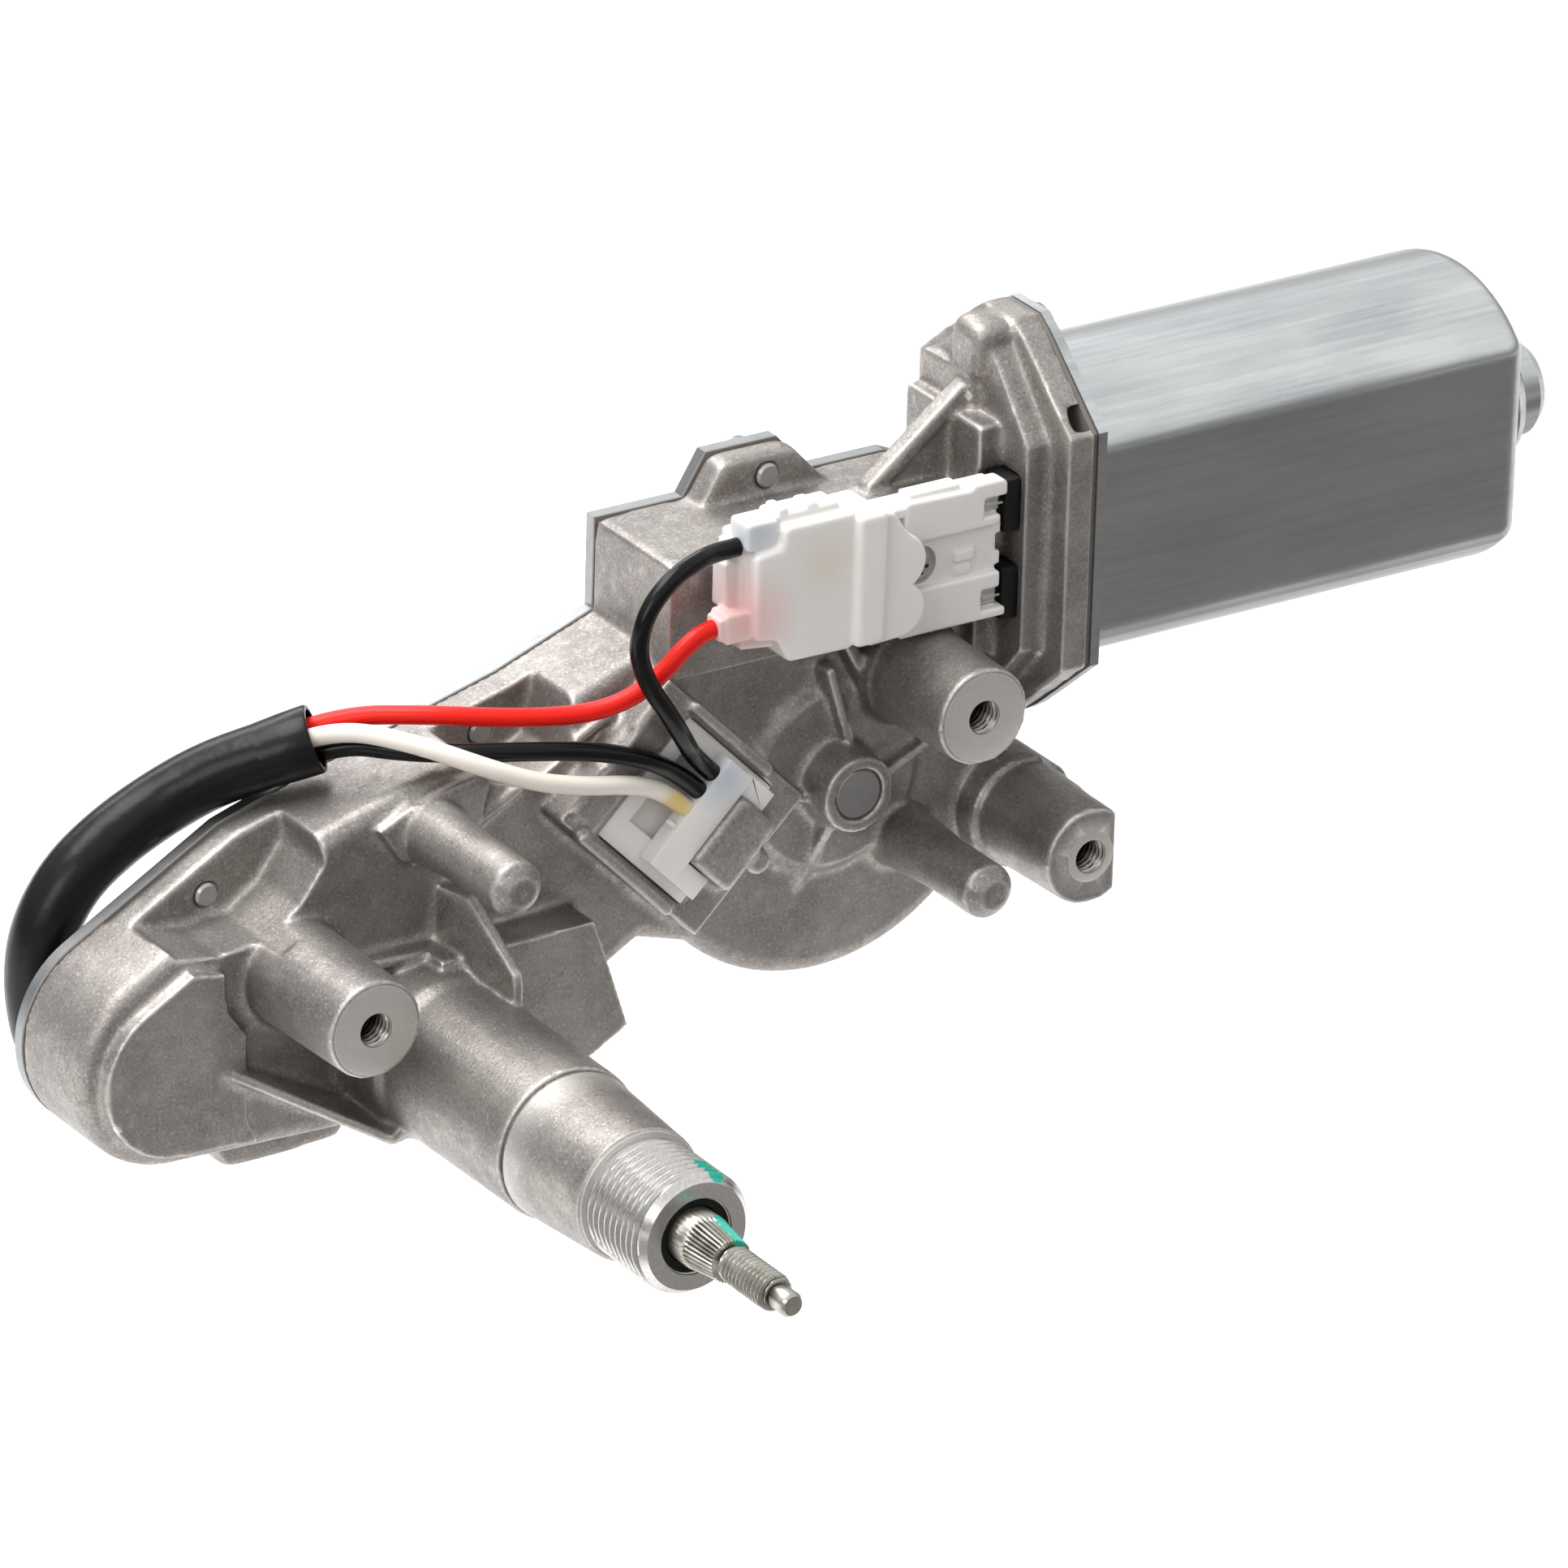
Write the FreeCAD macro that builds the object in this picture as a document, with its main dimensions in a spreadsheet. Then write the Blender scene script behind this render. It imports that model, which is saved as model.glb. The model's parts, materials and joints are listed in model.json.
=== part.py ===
import FreeCAD, Part
import math
import os
import Sketcher

# Rear window wiper motor with a rack drive, in millimetres.
# X runs along the motor axis towards the can, Z is up, and the output spindle points along -Y.
# The origin is on the spindle axis, at the shoulder of the threaded nose.

SIZES = {
    # output spindle
    "spindle_dia": 9.0,
    "spindle_front_y": -41.8,
    "spindle_rear_y": 80.2,
    "dog_dia": 4.0,
    "dog_length": 4.0,
    "spindle_thread_dia": 6.0,
    "spindle_thread_length": 12.8,
    "serration_dia": 7.5,
    "serration_length": 7.0,
    "running_gap": 0.03,
    "bush_dia": 12.0,
    "front_bush_y": -7.5,
    "front_bush_length": 15.0,
    "rear_bush_y": 47.0,
    "rear_bush_length": 17.0,
    "ring_width": 1.0,
    "ring_dia": 11.4,
    "seal_width": 3.5,
    "seal_gap": 0.25,
    "washer_width": 0.6,
    # nose and spindle tube of the casting
    "nose_dia": 20.0,
    "nose_length": 15.5,
    "nose_chamfer": 1.5,
    "tube_front_dia": 21.6,
    "tube_mid_dia": 24.2,
    "tube_step_y": 20.0,
    "tube_collar_dia": 25.2,
    "tube_root_dia": 27.3,
    # case
    "front_y": 64.0,
    "seat_y": 81.6,
    "front_wall": 2.6,
    "case_wall": 2.5,
    "pinion_well_dia": 22.4,
    "front_round": 3.0,
    "lobe_x": -42.0,
    "lobe_z": 4.5,
    "lobe_r": 17.0,
    "lobe_front_y": 61.5,
    "lobe_lift_r": 13.5,
    "brow_x": -25.0,
    "brow_z": 34.0,
    "temple_x": -9.6,
    "temple_z": 39.0,
    "crown_x": 24.5,
    "crown_z": 48.4,
    "box_x": 42.0,
    "box_foot_z": 55.0,
    "box_top_z": 70.3,
    "box_front_y": 60.0,
    "box_front_foot_z": 51.0,
    "case_end_x": 104.0,
    "case_end_z": 66.5,
    "relief_step": 6.0,
    "relief_top_step": 7.6,
    "relief_deep": 12.0,
    "relief_high": 60.0,
    "relief_drop": 40.0,
    "box_corner_x": 95.0,
    "belly_x": -11.5,
    "belly_z": -13.6,
    "flank_x": 27.8,
    "flank_z": -2.0,
    "valley_x": 41.0,
    "valley_z": 5.8,
    "drum_r": 33.9,
    "drum_left_angle": 44.5,
    # worm wheel centre, and the boss of its shaft
    "wheel_x": 74.7,
    "wheel_z": 26.6,
    "hub_front_y": 55.0,
    "hub_dia": 12.5,
    "hub_root_dia": 14.6,
    "hub_disc_r": 14.6,
    "hub_disc_root_r": 17.2,
    "hub_disc_y": 62.0,
    "wheel_shaft_dia": 8.5,
    "wheel_shaft_rear_y": 75.6,
    # fixing bosses and locating pins
    "boss_face_y": 40.0,
    "boss_dia": 16.0,
    "boss_root_dia": 17.4,
    "boss_hole_dia": 5.0,
    "boss_a_hole_depth": 16.0,
    "boss_b_hole_depth": 15.2,
    "boss_c_hole_depth": 14.4,
    "boss_a_x": -22.0,
    "boss_a_z": 16.0,
    "boss_b_x": 87.0,
    "boss_b_z": 43.0,
    "boss_c_x": 108.0,
    "boss_c_z": 14.5,
    "boss_flat": 4.6,
    "boss_flat_long": 11.0,
    "pad_b_dia": 18.0,
    "pad_c_dia": 19.0,
    "pad_front_y": 59.0,
    "pin_tip_y": 36.2,
    "pin_dia": 9.0,
    "pin_tip_dia": 4.8,
    "pin_cone": 2.2,
    "pin_straight": 12.0,
    "pin_root_dia": 11.2,
    "pin_d_x": 87.8,
    "pin_d_z": 13.9,
    "pin_e_x": 1.5,
    "pin_e_z": 34.6,
    # cover and its screws
    "cover_thick": 2.0,
    "gasket_thick": 0.4,
    "cover_screw_dia": 4.0,
    "cover_screw_head_dia": 7.0,
    "cover_screw_head": 2.4,
    "cover_screw_drive": 2.2,
    "ear_front_y": 76.4,
    "ear_one_x": -30.0,
    "ear_one_z": 25.5,
    "ear_two_x": 18.6,
    "ear_two_z": 41.6,
    "ear_three_x": 70.0,
    "ear_three_z": 73.4,
    "ear_four_x": -18.0,
    "ear_four_z": -15.5,
    "low_ear_front_y": 74.0,
    "top_ear_half": 12.0,
    "top_ear_height": 6.6,
    "low_ear_half": 14.0,
    "low_ear_drop": 5.4,
    # motor
    "motor_y": 70.0,
    "motor_z": 61.9,
    "flange_face_x": 112.0,
    "flange_thick": 4.6,
    "flange_step": 4.4,
    "flange_step_inset": 5.0,
    "flange_slot_wide": 2.6,
    "flange_slot_deep": 8.0,
    "flange_slot_high": 5.0,
    "flange_slot_z": 18.0,
    "flange_half_y": 21.0,
    "neck_long": 13.2,
    "neck_deep": 20.6,
    "neck_front": 9.0,
    "neck_up": 19.0,
    "neck_down": 20.0,
    "heel_long": 10.6,
    "heel_front": 3.0,
    "heel_up": 24.6,
    "flange_half_z": 19.6,
    "lug_reach": 33.6,
    "lug_half": 7.0,
    "lug_slope": 2.0,
    "lug_corner": 3.0,
    "yoke_boss_dia": 9.0,
    "yoke_boss_length": 9.2,
    "yoke_screw_reach": 29.2,
    "yoke_screw_dia": 4.0,
    "yoke_screw_length": 5.6,
    "yoke_head_dia": 8.0,
    "yoke_head": 3.0,
    "flange_gasket_thick": 0.8,
    "can_flange_thick": 1.6,
    "can_r": 24.8,
    "can_half_flat": 19.0,
    "can_wall": 2.0,
    "can_end_x": 196.5,
    "can_end_round": 4.0,
    "can_edge_round": 4.0,
    "dome_base_dia": 24.6,
    "dome_base_length": 6.4,
    "dome_dia": 17.0,
    "dome_length": 13.4,
    "dome_wall": 2.0,
    "motor_shaft_dia": 6.0,
    "motor_shaft_start_x": 47.2,
    "motor_shaft_end_x": 205.5,
    "motor_bush_dia": 12.0,
    "motor_bush_length": 9.0,
    "motor_bush_bore_length": 20.0,
    "card_recess_dia": 40.0,
    "card_recess_depth": 3.0,
    "worm_bush_dia": 10.0,
    "worm_bush_length": 8.0,
    "thrust_length": 2.4,
    "air_gap": 0.7,
    "magnet_half_angle": 50.0,
    "magnet_overhang": 5.0,
    "core_dia": 32.0,
    "winding_gap": 2.0,
    "core_length": 40.0,
    "core_slots": 8,
    "slot_width": 4.0,
    "slot_depth": 7.0,
    "end_turn_dia": 29.0,
    "end_turn_length": 4.5,
    "commutator_dia": 18.0,
    "commutator_start_x": 120.5,
    "commutator_length": 11.0,
    "commutator_bars": 8,
    "card_x": 116.0,
    "card_thick": 1.8,
    "card_hole_dia": 24.0,
    "brush_gap": 0.05,
    "brush_long": 6.0,
    "brush_width": 5.0,
    "brush_high": 6.0,
    "leaf_thick": 0.4,
    "leaf_high": 4.0,
    "leaf_past": 2.0,
    "terminal_spread": 7.4,
    "terminal_y": 58.6,
    "terminal_width": 4.6,
    "terminal_thick": 0.8,
    "terminal_start_x": 94.0,
    "grommet_gap": 0.1,
    "grommet_half_y": 2.9,
    "grommet_half_z": 4.4,
    "grommet_way": 16.0,
    # worm and wheel
    "gear_module": 1.0,
    "wheel_teeth": 60,
    "worm_start_x": 60.0,
    "worm_turns": 9,
    "worm_out": 0.75,
    "worm_thread_root": 1.25,
    "worm_thread_tip": 0.7,
    "wheel_front_y": 67.3,
    "wheel_face": 6.4,
    "wheel_rim": 3.5,
    "wheel_web": 3.4,
    "wheel_hub_dia": 17.0,
    "wheel_hub_rear_y": 74.6,
    "wheel_tooth_tip": 1.0,
    "wheel_tooth_root": 1.8,
    "wheel_tooth_out": 0.8,
    "wheel_tooth_in": 1.15,
    "contact_plate_r": 25.0,
    "contact_plate_bore": 34.0,
    "contact_plate_thick": 0.4,
    "clip_dia": 10.8,
    "clip_thick": 0.5,
    "crank_pin_dia": 7.0,
    "crank_boss_wall": 2.5,
    "crank_boss_y": 68.0,
    "park_gap_long": 9.0,
    "park_gap_high": 5.0,
    "open_pivot_gap": 0.3,
    "worm_chamber_x": 57.0,
    "worm_chamber_y": 62.0,
    "worm_chamber_z": 53.4,
    "worm_chamber_long": 42.0,
    "worm_chamber_high": 15.4,
    # rack drive
    "gallery_gap": 0.4,
    "gallery_front_y": 73.0,
    "rack_end_x": -41.0,
    "rack_end_z": 4.0,
    "sweep_angle": 120.0,
    "pinion_teeth": 14,
    "pinion_module": 1.25,
    "pinion_hub_dia": 14.0,
    "rack_y": 76.2,
    "rack_thick": 3.4,
    "rack_half": 5.0,
    "rack_teeth": 7,
    "rack_tooth_tip": 0.74,
    "rack_tooth_root": 2.3,
    "rack_out": 1.05,
    "rack_in": 1.4,
    "pinion_tooth_tip": 0.8,
    "pinion_tooth_root": 2.3,
    "rod_eye_r": 7.5,
    "rod_eye_hole": 7.2,
    "guide_y": 74.4,
    "guide_thick": 1.4,
    "guide_eye_wall": 3.5,
    "guide_arm_wide": 15.0,
    "shoe_notch_long": 5.0,
    "shoe_notch_deep": 1.0,
    "shoe_length": 18.0,
    "shoe_width": 4.0,
    "shoe_gap": 0.06,
    # park switch, turned by 45 degrees in the front face
    "switch_x": 44.5,
    "switch_z": 29.7,
    "switch_long": 22.0,
    "switch_wide": 23.0,
    "switch_front_y": 58.0,
    "switch_floor_y": 62.0,
    "switch_wall": 2.2,
    "switch_head": 7.6,
    "switch_plug_front_y": 54.5,
    "switch_plug_bar": 6.0,
    "switch_plug_wide": 20.0,
    "switch_plug_arm": 5.7,
    "keeper_long": 9.2,
    "keeper_wide": 12.8,
    "keeper_start": 4.1,
    "switch_slot_start": 1.0,
    "switch_slot_half": 7.5,
    "frame_notch_low": -3.0,
    "frame_notch_high": 4.5,
    "keeper_stub_dia": 3.0,
    "base_hollow_start": -7.6,
    "base_hollow_end": 0.6,
    "base_hollow_half": 6.6,
    "finger_pitch": 4.4,
    "finger_first": -5.0,
    "finger_root_start": 2.0,
    "finger_root_end": 3.4,
    "finger_tip_start": 8.6,
    "finger_end": 9.6,
    "finger_width": 2.2,
    "finger_thick": 0.3,
    # feed connector
    "feed_base_x": 76.0,
    "feed_base_end_x": 100.2,
    "feed_base_low_z": 52.1,
    "feed_base_high_z": 73.8,
    "feed_base_front_y": 54.6,
    "feed_plug_x": 52.0,
    "feed_plug_front_y": 50.2,
    "feed_plug_low_z": 54.0,
    "feed_plug_high_z": 76.6,
    "feed_flap_x": 81.5,
    "feed_screw_x": 87.2,
    "feed_screw_dia": 4.0,
    "feed_screw_head_dia": 6.4,
    "feed_screw_sink": 2.0,
    "feed_screw_bite": 2.9,
    "feed_slot_deep": 7.5,
    "feed_slot_gap": 0.3,
    "feed_window": 2.6,
    "feed_window_long": 5.0,
    "feed_window_off": 1.4,
    "feed_latch_x": 9.5,
    "feed_latch_long": 4.5,
    "feed_latch_high": 4.0,
    "feed_latch_deep": 1.1,
    "feed_notch_long": 2.3,
    "feed_notch_deep": 6.5,
    "feed_notch_high": 9.0,
    "feed_flap_drop": 0.8,
    "feed_flap_short": 3.0,
    "feed_ridge_x": 7.0,
    "feed_ridge_long": 6.5,
    "feed_ridge_out": 1.6,
    "black_port": 4.6,
    "black_port_y": 51.7,
    "red_port_deep": 5.0,
    "red_port_high": 6.0,
    "red_port_y": 51.5,
    "red_port_z": 58.7,
    "feed_corner_x": 4.3,
    "feed_corner_y": 11.0,
    "feed_corner_z": 4.1,
    # harness
    "wire_dia": 3.0,
    "sleeve_dia": 10.4,
    "clip_strap": 1.2,
    "clip_gap": 0.3,
    "clip_width": 5.0,
    "clip_reach": 13.0,
    "clip_x": 2.6,
    "feed_port_long": 2.0,
    "tail_connector_x": 8.0,
    "tail_connector_long": 22.0,
    "tail_connector_deep": 10.0,
    "tail_connector_high": 12.0,
}

doc = FreeCAD.newDocument("wiper_motor")
sheet = doc.addObject("Spreadsheet::Sheet", "sizes")
for row, (alias, number) in enumerate(SIZES.items(), start=1):
    sheet.set(f"A{row}", alias)
    sheet.set(f"B{row}", str(number))
    sheet.setAlias(f"B{row}", alias)
doc.recompute()

Vector = FreeCAD.Vector
Rotation = FreeCAD.Rotation
ALONG_X = Rotation(Vector(0, 1, 0), 90)
TO_BACK = Rotation(Vector(1, 0, 0), -90)
UPRIGHT = Rotation()

subparts = {}


def value(expression):
    return float(sheet.evalExpression(str(expression)))


def named(text):
    """Writes each word in braces as a cell of the sheet: "{wall} / 2"."""
    return text.replace("{", "sizes.").replace("}", "")


# Distances that follow from the sizes above.
CRANK_R = named("({sweep_angle} / 180 * pi / 2 * {pinion_teeth} * {pinion_module} / 2)")
RACK_ANGLE = math.atan2(value("sizes.wheel_z - sizes.rack_end_z"), value("sizes.wheel_x - sizes.rack_end_x"))
RACK_TURN = Rotation(Vector(0, 1, 0), -math.degrees(RACK_ANGLE))
RACK_V = value("sizes.rack_end_z") * math.cos(RACK_ANGLE) - value("sizes.rack_end_x") * math.sin(RACK_ANGLE)
RACK_END_U = value("sizes.rack_end_x") * math.cos(RACK_ANGLE) + value("sizes.rack_end_z") * math.sin(RACK_ANGLE)
WHEEL_U = value("sizes.wheel_x") * math.cos(RACK_ANGLE) + value("sizes.wheel_z") * math.sin(RACK_ANGLE)
CRANK = value(CRANK_R)
PINION_R = value("sizes.pinion_teeth * sizes.pinion_module / 2")
COVER_BACK_Y = named("({seat_y} + {gasket_thick} + {cover_thick})")
CAN_START_X = named("({flange_face_x} + {flange_gasket_thick})")
CORE_START_X = named("({commutator_start_x} + {commutator_length} + {winding_gap} + {end_turn_length})")
WORM_CENTRES = named("({motor_z} - {wheel_z})")
WHEEL_PITCH_R = named("({gear_module} * {wheel_teeth} / 2)")


def bind(item, prop, expression):
    item.setExpression(prop, named(str(expression)))


def place(item, at, turn=UPRIGHT):
    item.Placement = FreeCAD.Placement(Vector(), turn)
    for letter, expression in zip("xyz", at):
        bind(item, f"Placement.Base.{letter}", expression)
    return item


def box(name, size, at):
    item = doc.addObject("Part::Box", name)
    for prop, expression in zip(("Length", "Width", "Height"), size):
        bind(item, prop, expression)
    return place(item, at)


def cylinder(name, diameter, length, at, turn):
    item = doc.addObject("Part::Cylinder", name)
    bind(item, "Radius", f"({diameter}) / 2")
    bind(item, "Height", length)
    return place(item, at, turn)


def cone(name, start_diameter, end_diameter, length, at, turn):
    item = doc.addObject("Part::Cone", name)
    bind(item, "Radius1", f"({start_diameter}) / 2")
    bind(item, "Radius2", f"({end_diameter}) / 2")
    bind(item, "Height", length)
    return place(item, at, turn)


def fused(name, items):
    item = doc.addObject("Part::MultiFuse", name)
    item.Shapes = items
    item.Refine = True
    return item


def cut(name, base, tools):
    item = doc.addObject("Part::Cut", name)
    item.Base = base
    item.Tool = tools[0] if len(tools) == 1 else fused(f"{name}_tools", tools)
    item.Refine = True
    return item


def group(name, items):
    item = doc.addObject("Part::Compound", name)
    item.Links = items
    return item


def turned_about_y(item, x, z, angle):
    """Sets a part that is drawn about the origin at a place in the front face, turned about Y."""
    return place(item, (x, 0, z), Rotation(Vector(0, 1, 0), angle))


def keep(item, name):
    """Names a finished piece of the motor."""
    item.Label = name
    subparts[name] = item
    return item


def web(name, start, end, fronts, back, widths):
    """A standing rib from start to end (x, z): its front edge runs between the two fronts (y),
    and widths are at the back and at the front edge."""
    run = Vector(end[0] - start[0], 0, end[1] - start[1])
    length = run.Length
    run.normalize()
    across = Vector(0, 1, 0).cross(run)
    half_back = widths[0] / 2
    half_front = widths[1] / 2
    corners = []
    for along, front in ((0.0, fronts[0]), (length, fronts[1])):
        middle = Vector(start[0], 0, start[1]) + run * along
        section = [
            middle + across * half_back + Vector(0, back, 0),
            middle + across * half_front + Vector(0, front, 0),
            middle - across * half_front + Vector(0, front, 0),
            middle - across * half_back + Vector(0, back, 0),
        ]
        corners.append(Part.makePolygon(section + [section[0]]))
    item = doc.addObject("Part::Feature", name)
    item.Shape = Part.makeLoft(corners, True, True)
    return item


def origin_plane(body, role):
    return [plane for plane in body.Origin.OriginFeatures if plane.Role == role][0]


def sketch_on(body, name, role, offset="0"):
    sketch = body.newObject("Sketcher::SketchObject", name)
    sketch.AttachmentSupport = [(origin_plane(body, role), "")]
    sketch.MapMode = "FlatFace"
    bind(sketch, "AttachmentOffset.Base.z", offset)
    return sketch


def arc_through(start, end, centre, far_side):
    """The arc of a circle round centre, over the nearer or the farther side."""
    middle = (start + end) * 0.5 - centre
    radius = (start - centre).Length
    if middle.Length < 1e-6:
        middle = Vector(-(end - start).y, (end - start).x, 0)
    middle.normalize()
    if far_side:
        middle = middle * -1
    return Part.Arc(start, centre + middle * radius, end)


def draw(sketch, outline):
    """Draws a closed outline. An entry is a corner (x, y), or ("arc", radius, x, y, far_side) for
    an arc round (x, y) between the corners before and after it."""
    corners = [entry for entry in outline if entry[0] != "arc"]
    points = [Vector(value(named(str(x))), value(named(str(y))), 0) for x, y in corners]
    first = len(sketch.Geometry)
    count = len(corners)
    arcs = {}
    seen = -1
    for entry in outline:
        if entry[0] == "arc":
            arcs[seen] = entry
        else:
            seen += 1
    starts = []
    for index in range(count):
        start = points[index]
        end = points[(index + 1) % count]
        if index in arcs:
            _, radius, centre_x, centre_y, far_side = arcs[index]
            centre = Vector(value(named(str(centre_x))), value(named(str(centre_y))), 0)
            edge = sketch.addGeometry(arc_through(start, end, centre, far_side))
            forward = (sketch.getPoint(edge, 1) - start).Length < 1e-4
            starts.append(1 if forward else 2)
            rule = sketch.addConstraint(Sketcher.Constraint("Radius", edge, value(named(str(radius)))))
            sketch.setExpression(f"Constraints[{rule}]", named(str(radius)))
        else:
            sketch.addGeometry(Part.LineSegment(start, end))
            starts.append(1)
    for index in range(count):
        nearer = first + (index + 1) % count
        join = (first + index, 3 - starts[index], nearer, starts[(index + 1) % count])
        sketch.addConstraint(Sketcher.Constraint("Coincident", *join))
    for index, (x, y) in enumerate(corners):
        for kind, expression, number in (("DistanceX", x, points[index].x), ("DistanceY", y, points[index].y)):
            rule = sketch.addConstraint(Sketcher.Constraint(kind, -1, 1, first + index, starts[index], number))
            sketch.setExpression(f"Constraints[{rule}]", named(str(expression)))


def draw_circle(sketch, diameter, x, y):
    radius = value(named(f"({diameter}) / 2"))
    centre = Vector(value(named(str(x))), value(named(str(y))), 0)
    edge = sketch.addGeometry(Part.Circle(centre, Vector(0, 0, 1), radius))
    rule = sketch.addConstraint(Sketcher.Constraint("Diameter", edge, 2 * radius))
    sketch.setExpression(f"Constraints[{rule}]", named(str(diameter)))
    for kind, expression, number in (("DistanceX", x, centre.x), ("DistanceY", y, centre.y)):
        rule = sketch.addConstraint(Sketcher.Constraint(kind, -1, 1, edge, 3, number))
        sketch.setExpression(f"Constraints[{rule}]", named(str(expression)))


def pad(body, sketch, length, reverse=False):
    feature = body.newObject("PartDesign::Pad", f"{sketch.Name}_pad")
    feature.Profile = sketch
    bind(feature, "Length", length)
    feature.Reversed = reverse
    return feature


def pocket(body, sketch, length, reverse=False):
    before = body.Shape.Volume
    feature = body.newObject("PartDesign::Pocket", f"{sketch.Name}_pocket")
    feature.Profile = sketch
    bind(feature, "Length", length)
    feature.Reversed = reverse
    doc.recompute()
    if body.Shape.Volume > before - 1e-6:
        raise RuntimeError(f"{feature.Name} cuts nothing")
    return feature


def turned(name, axis, profile, at=(0, 0, 0)):
    """A turned piece. The profile's corners are (along the axis, radius)."""
    body = doc.addObject("PartDesign::Body", name)
    sketch = sketch_on(body, f"{name}_profile", "XY_Plane")
    corners = profile if axis == "x" else [(radius, along) for along, radius in profile]
    draw(sketch, corners)
    feature = body.newObject("PartDesign::Revolution", f"{name}_turn")
    feature.Profile = sketch
    feature.ReferenceAxis = (sketch, ["H_Axis" if axis == "x" else "V_Axis"])
    feature.Angle = 360
    return place(body, at)


def ring(name, outer, inner, length, at, turn):
    """A plain round bush or ring."""
    outside = cylinder(f"{name}_outside", outer, length, at, turn)
    inside = cylinder(f"{name}_inside", inner, length, at, turn)
    return keep(cut(name, outside, [inside]), name)


def flat_face_toward(shape, direction):
    """The name of the flat face that lies furthest along a direction."""
    best = None
    for index, face in enumerate(shape.Faces, start=1):
        if face.Surface.TypeId != "Part::GeomPlane":
            continue
        if face.normalAt(0, 0).dot(direction) < 0.999:
            continue
        reach = face.CenterOfMass.dot(direction)
        if best is None or reach > best[0]:
            best = (reach, f"Face{index}")
    return best[1]


def round_edges(body, base, names, radius):
    """Rounds edges, or all the edges of a face."""
    feature = body.newObject("PartDesign::Fillet", f"{base.Name}_round")
    feature.Base = (base, names)
    bind(feature, "Radius", radius)
    doc.recompute()
    return feature


# Outline of the case, looked at from the front: x to the right, z up.

def case_outline(with_ears):
    lean = math.atan2(
        value("sizes.brow_z - sizes.lobe_z"),
        value("sizes.brow_x - sizes.lobe_x"),
    )
    reach = math.hypot(
        value("sizes.brow_z - sizes.lobe_z"),
        value("sizes.brow_x - sizes.lobe_x"),
    )
    tangent = math.degrees(lean + math.acos(value("sizes.lobe_r") / reach))
    outline = [
        ("{lobe_x}", "{lobe_z} - {lobe_r}"),
        ("arc", "{lobe_r}", "{lobe_x}", "{lobe_z}", tangent < 90),
        (f"{{lobe_x}} + {{lobe_r}} * cos({tangent} deg)", f"{{lobe_z}} + {{lobe_r}} * sin({tangent} deg)"),
        ("{brow_x}", "{brow_z}"),
        ("{temple_x}", "{temple_z}"),
        ("{crown_x}", "{crown_z}"),
        ("{box_x}", "{box_foot_z}"),
        ("{box_x}", "{box_top_z}"),
    ]
    if with_ears:
        outline += [
            ("{ear_three_x} - {top_ear_half}", "{box_top_z}"),
            ("{ear_three_x} - {top_ear_half} + 4", "{box_top_z} + {top_ear_height}"),
            ("{ear_three_x} + {top_ear_half} - 7", "{box_top_z} + {top_ear_height}"),
            ("{ear_three_x} + {top_ear_half} - 1", "{box_top_z}"),
        ]
    right_z = "{wheel_z} + sqrt(pow({drum_r}; 2) - pow({case_end_x} - {wheel_x}; 2))"
    outline += [
        ("{box_corner_x}", "{box_top_z}"),
        ("{case_end_x}", "{case_end_z}"),
        ("{case_end_x}", right_z),
        ("arc", "{drum_r}", "{wheel_x}", "{wheel_z}", False),
        (
            "{wheel_x} - {drum_r} * cos({drum_left_angle} * 1 deg)",
            "{wheel_z} - {drum_r} * sin({drum_left_angle} * 1 deg)",
        ),
        ("{valley_x}", "{valley_z}"),
        ("{flank_x}", "{flank_z}"),
        ("{belly_x} + {low_ear_half}", "{belly_z} + 1.4"),
    ]
    if with_ears:
        outline += [
            ("{ear_four_x} + {low_ear_half}", "{belly_z}"),
            ("{ear_four_x} + {low_ear_half} - 3", "{ear_four_z} - {low_ear_drop} + 0.6"),
            ("{ear_four_x} - {low_ear_half} + 5", "{ear_four_z} - {low_ear_drop}"),
            ("{ear_four_x} - {low_ear_half}", "{belly_z} + 0.2"),
        ]
    else:
        outline += [("{belly_x}", "{belly_z}")]
    return outline


# Gear housing: a sand-cast aluminium case with its spindle tube, bosses, pins and ribs.

def case_shell():
    body = doc.addObject("PartDesign::Body", "case_shell")
    outline = sketch_on(body, "case_plan", "XZ_Plane", "-{seat_y}")
    draw(outline, case_outline(False))
    block = pad(body, outline, "{seat_y} - {front_y}")
    doc.recompute()
    front = flat_face_toward(block.Shape, Vector(0, -1, 0))
    round_edges(body, block, [front], "{front_round}")
    return body


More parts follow.
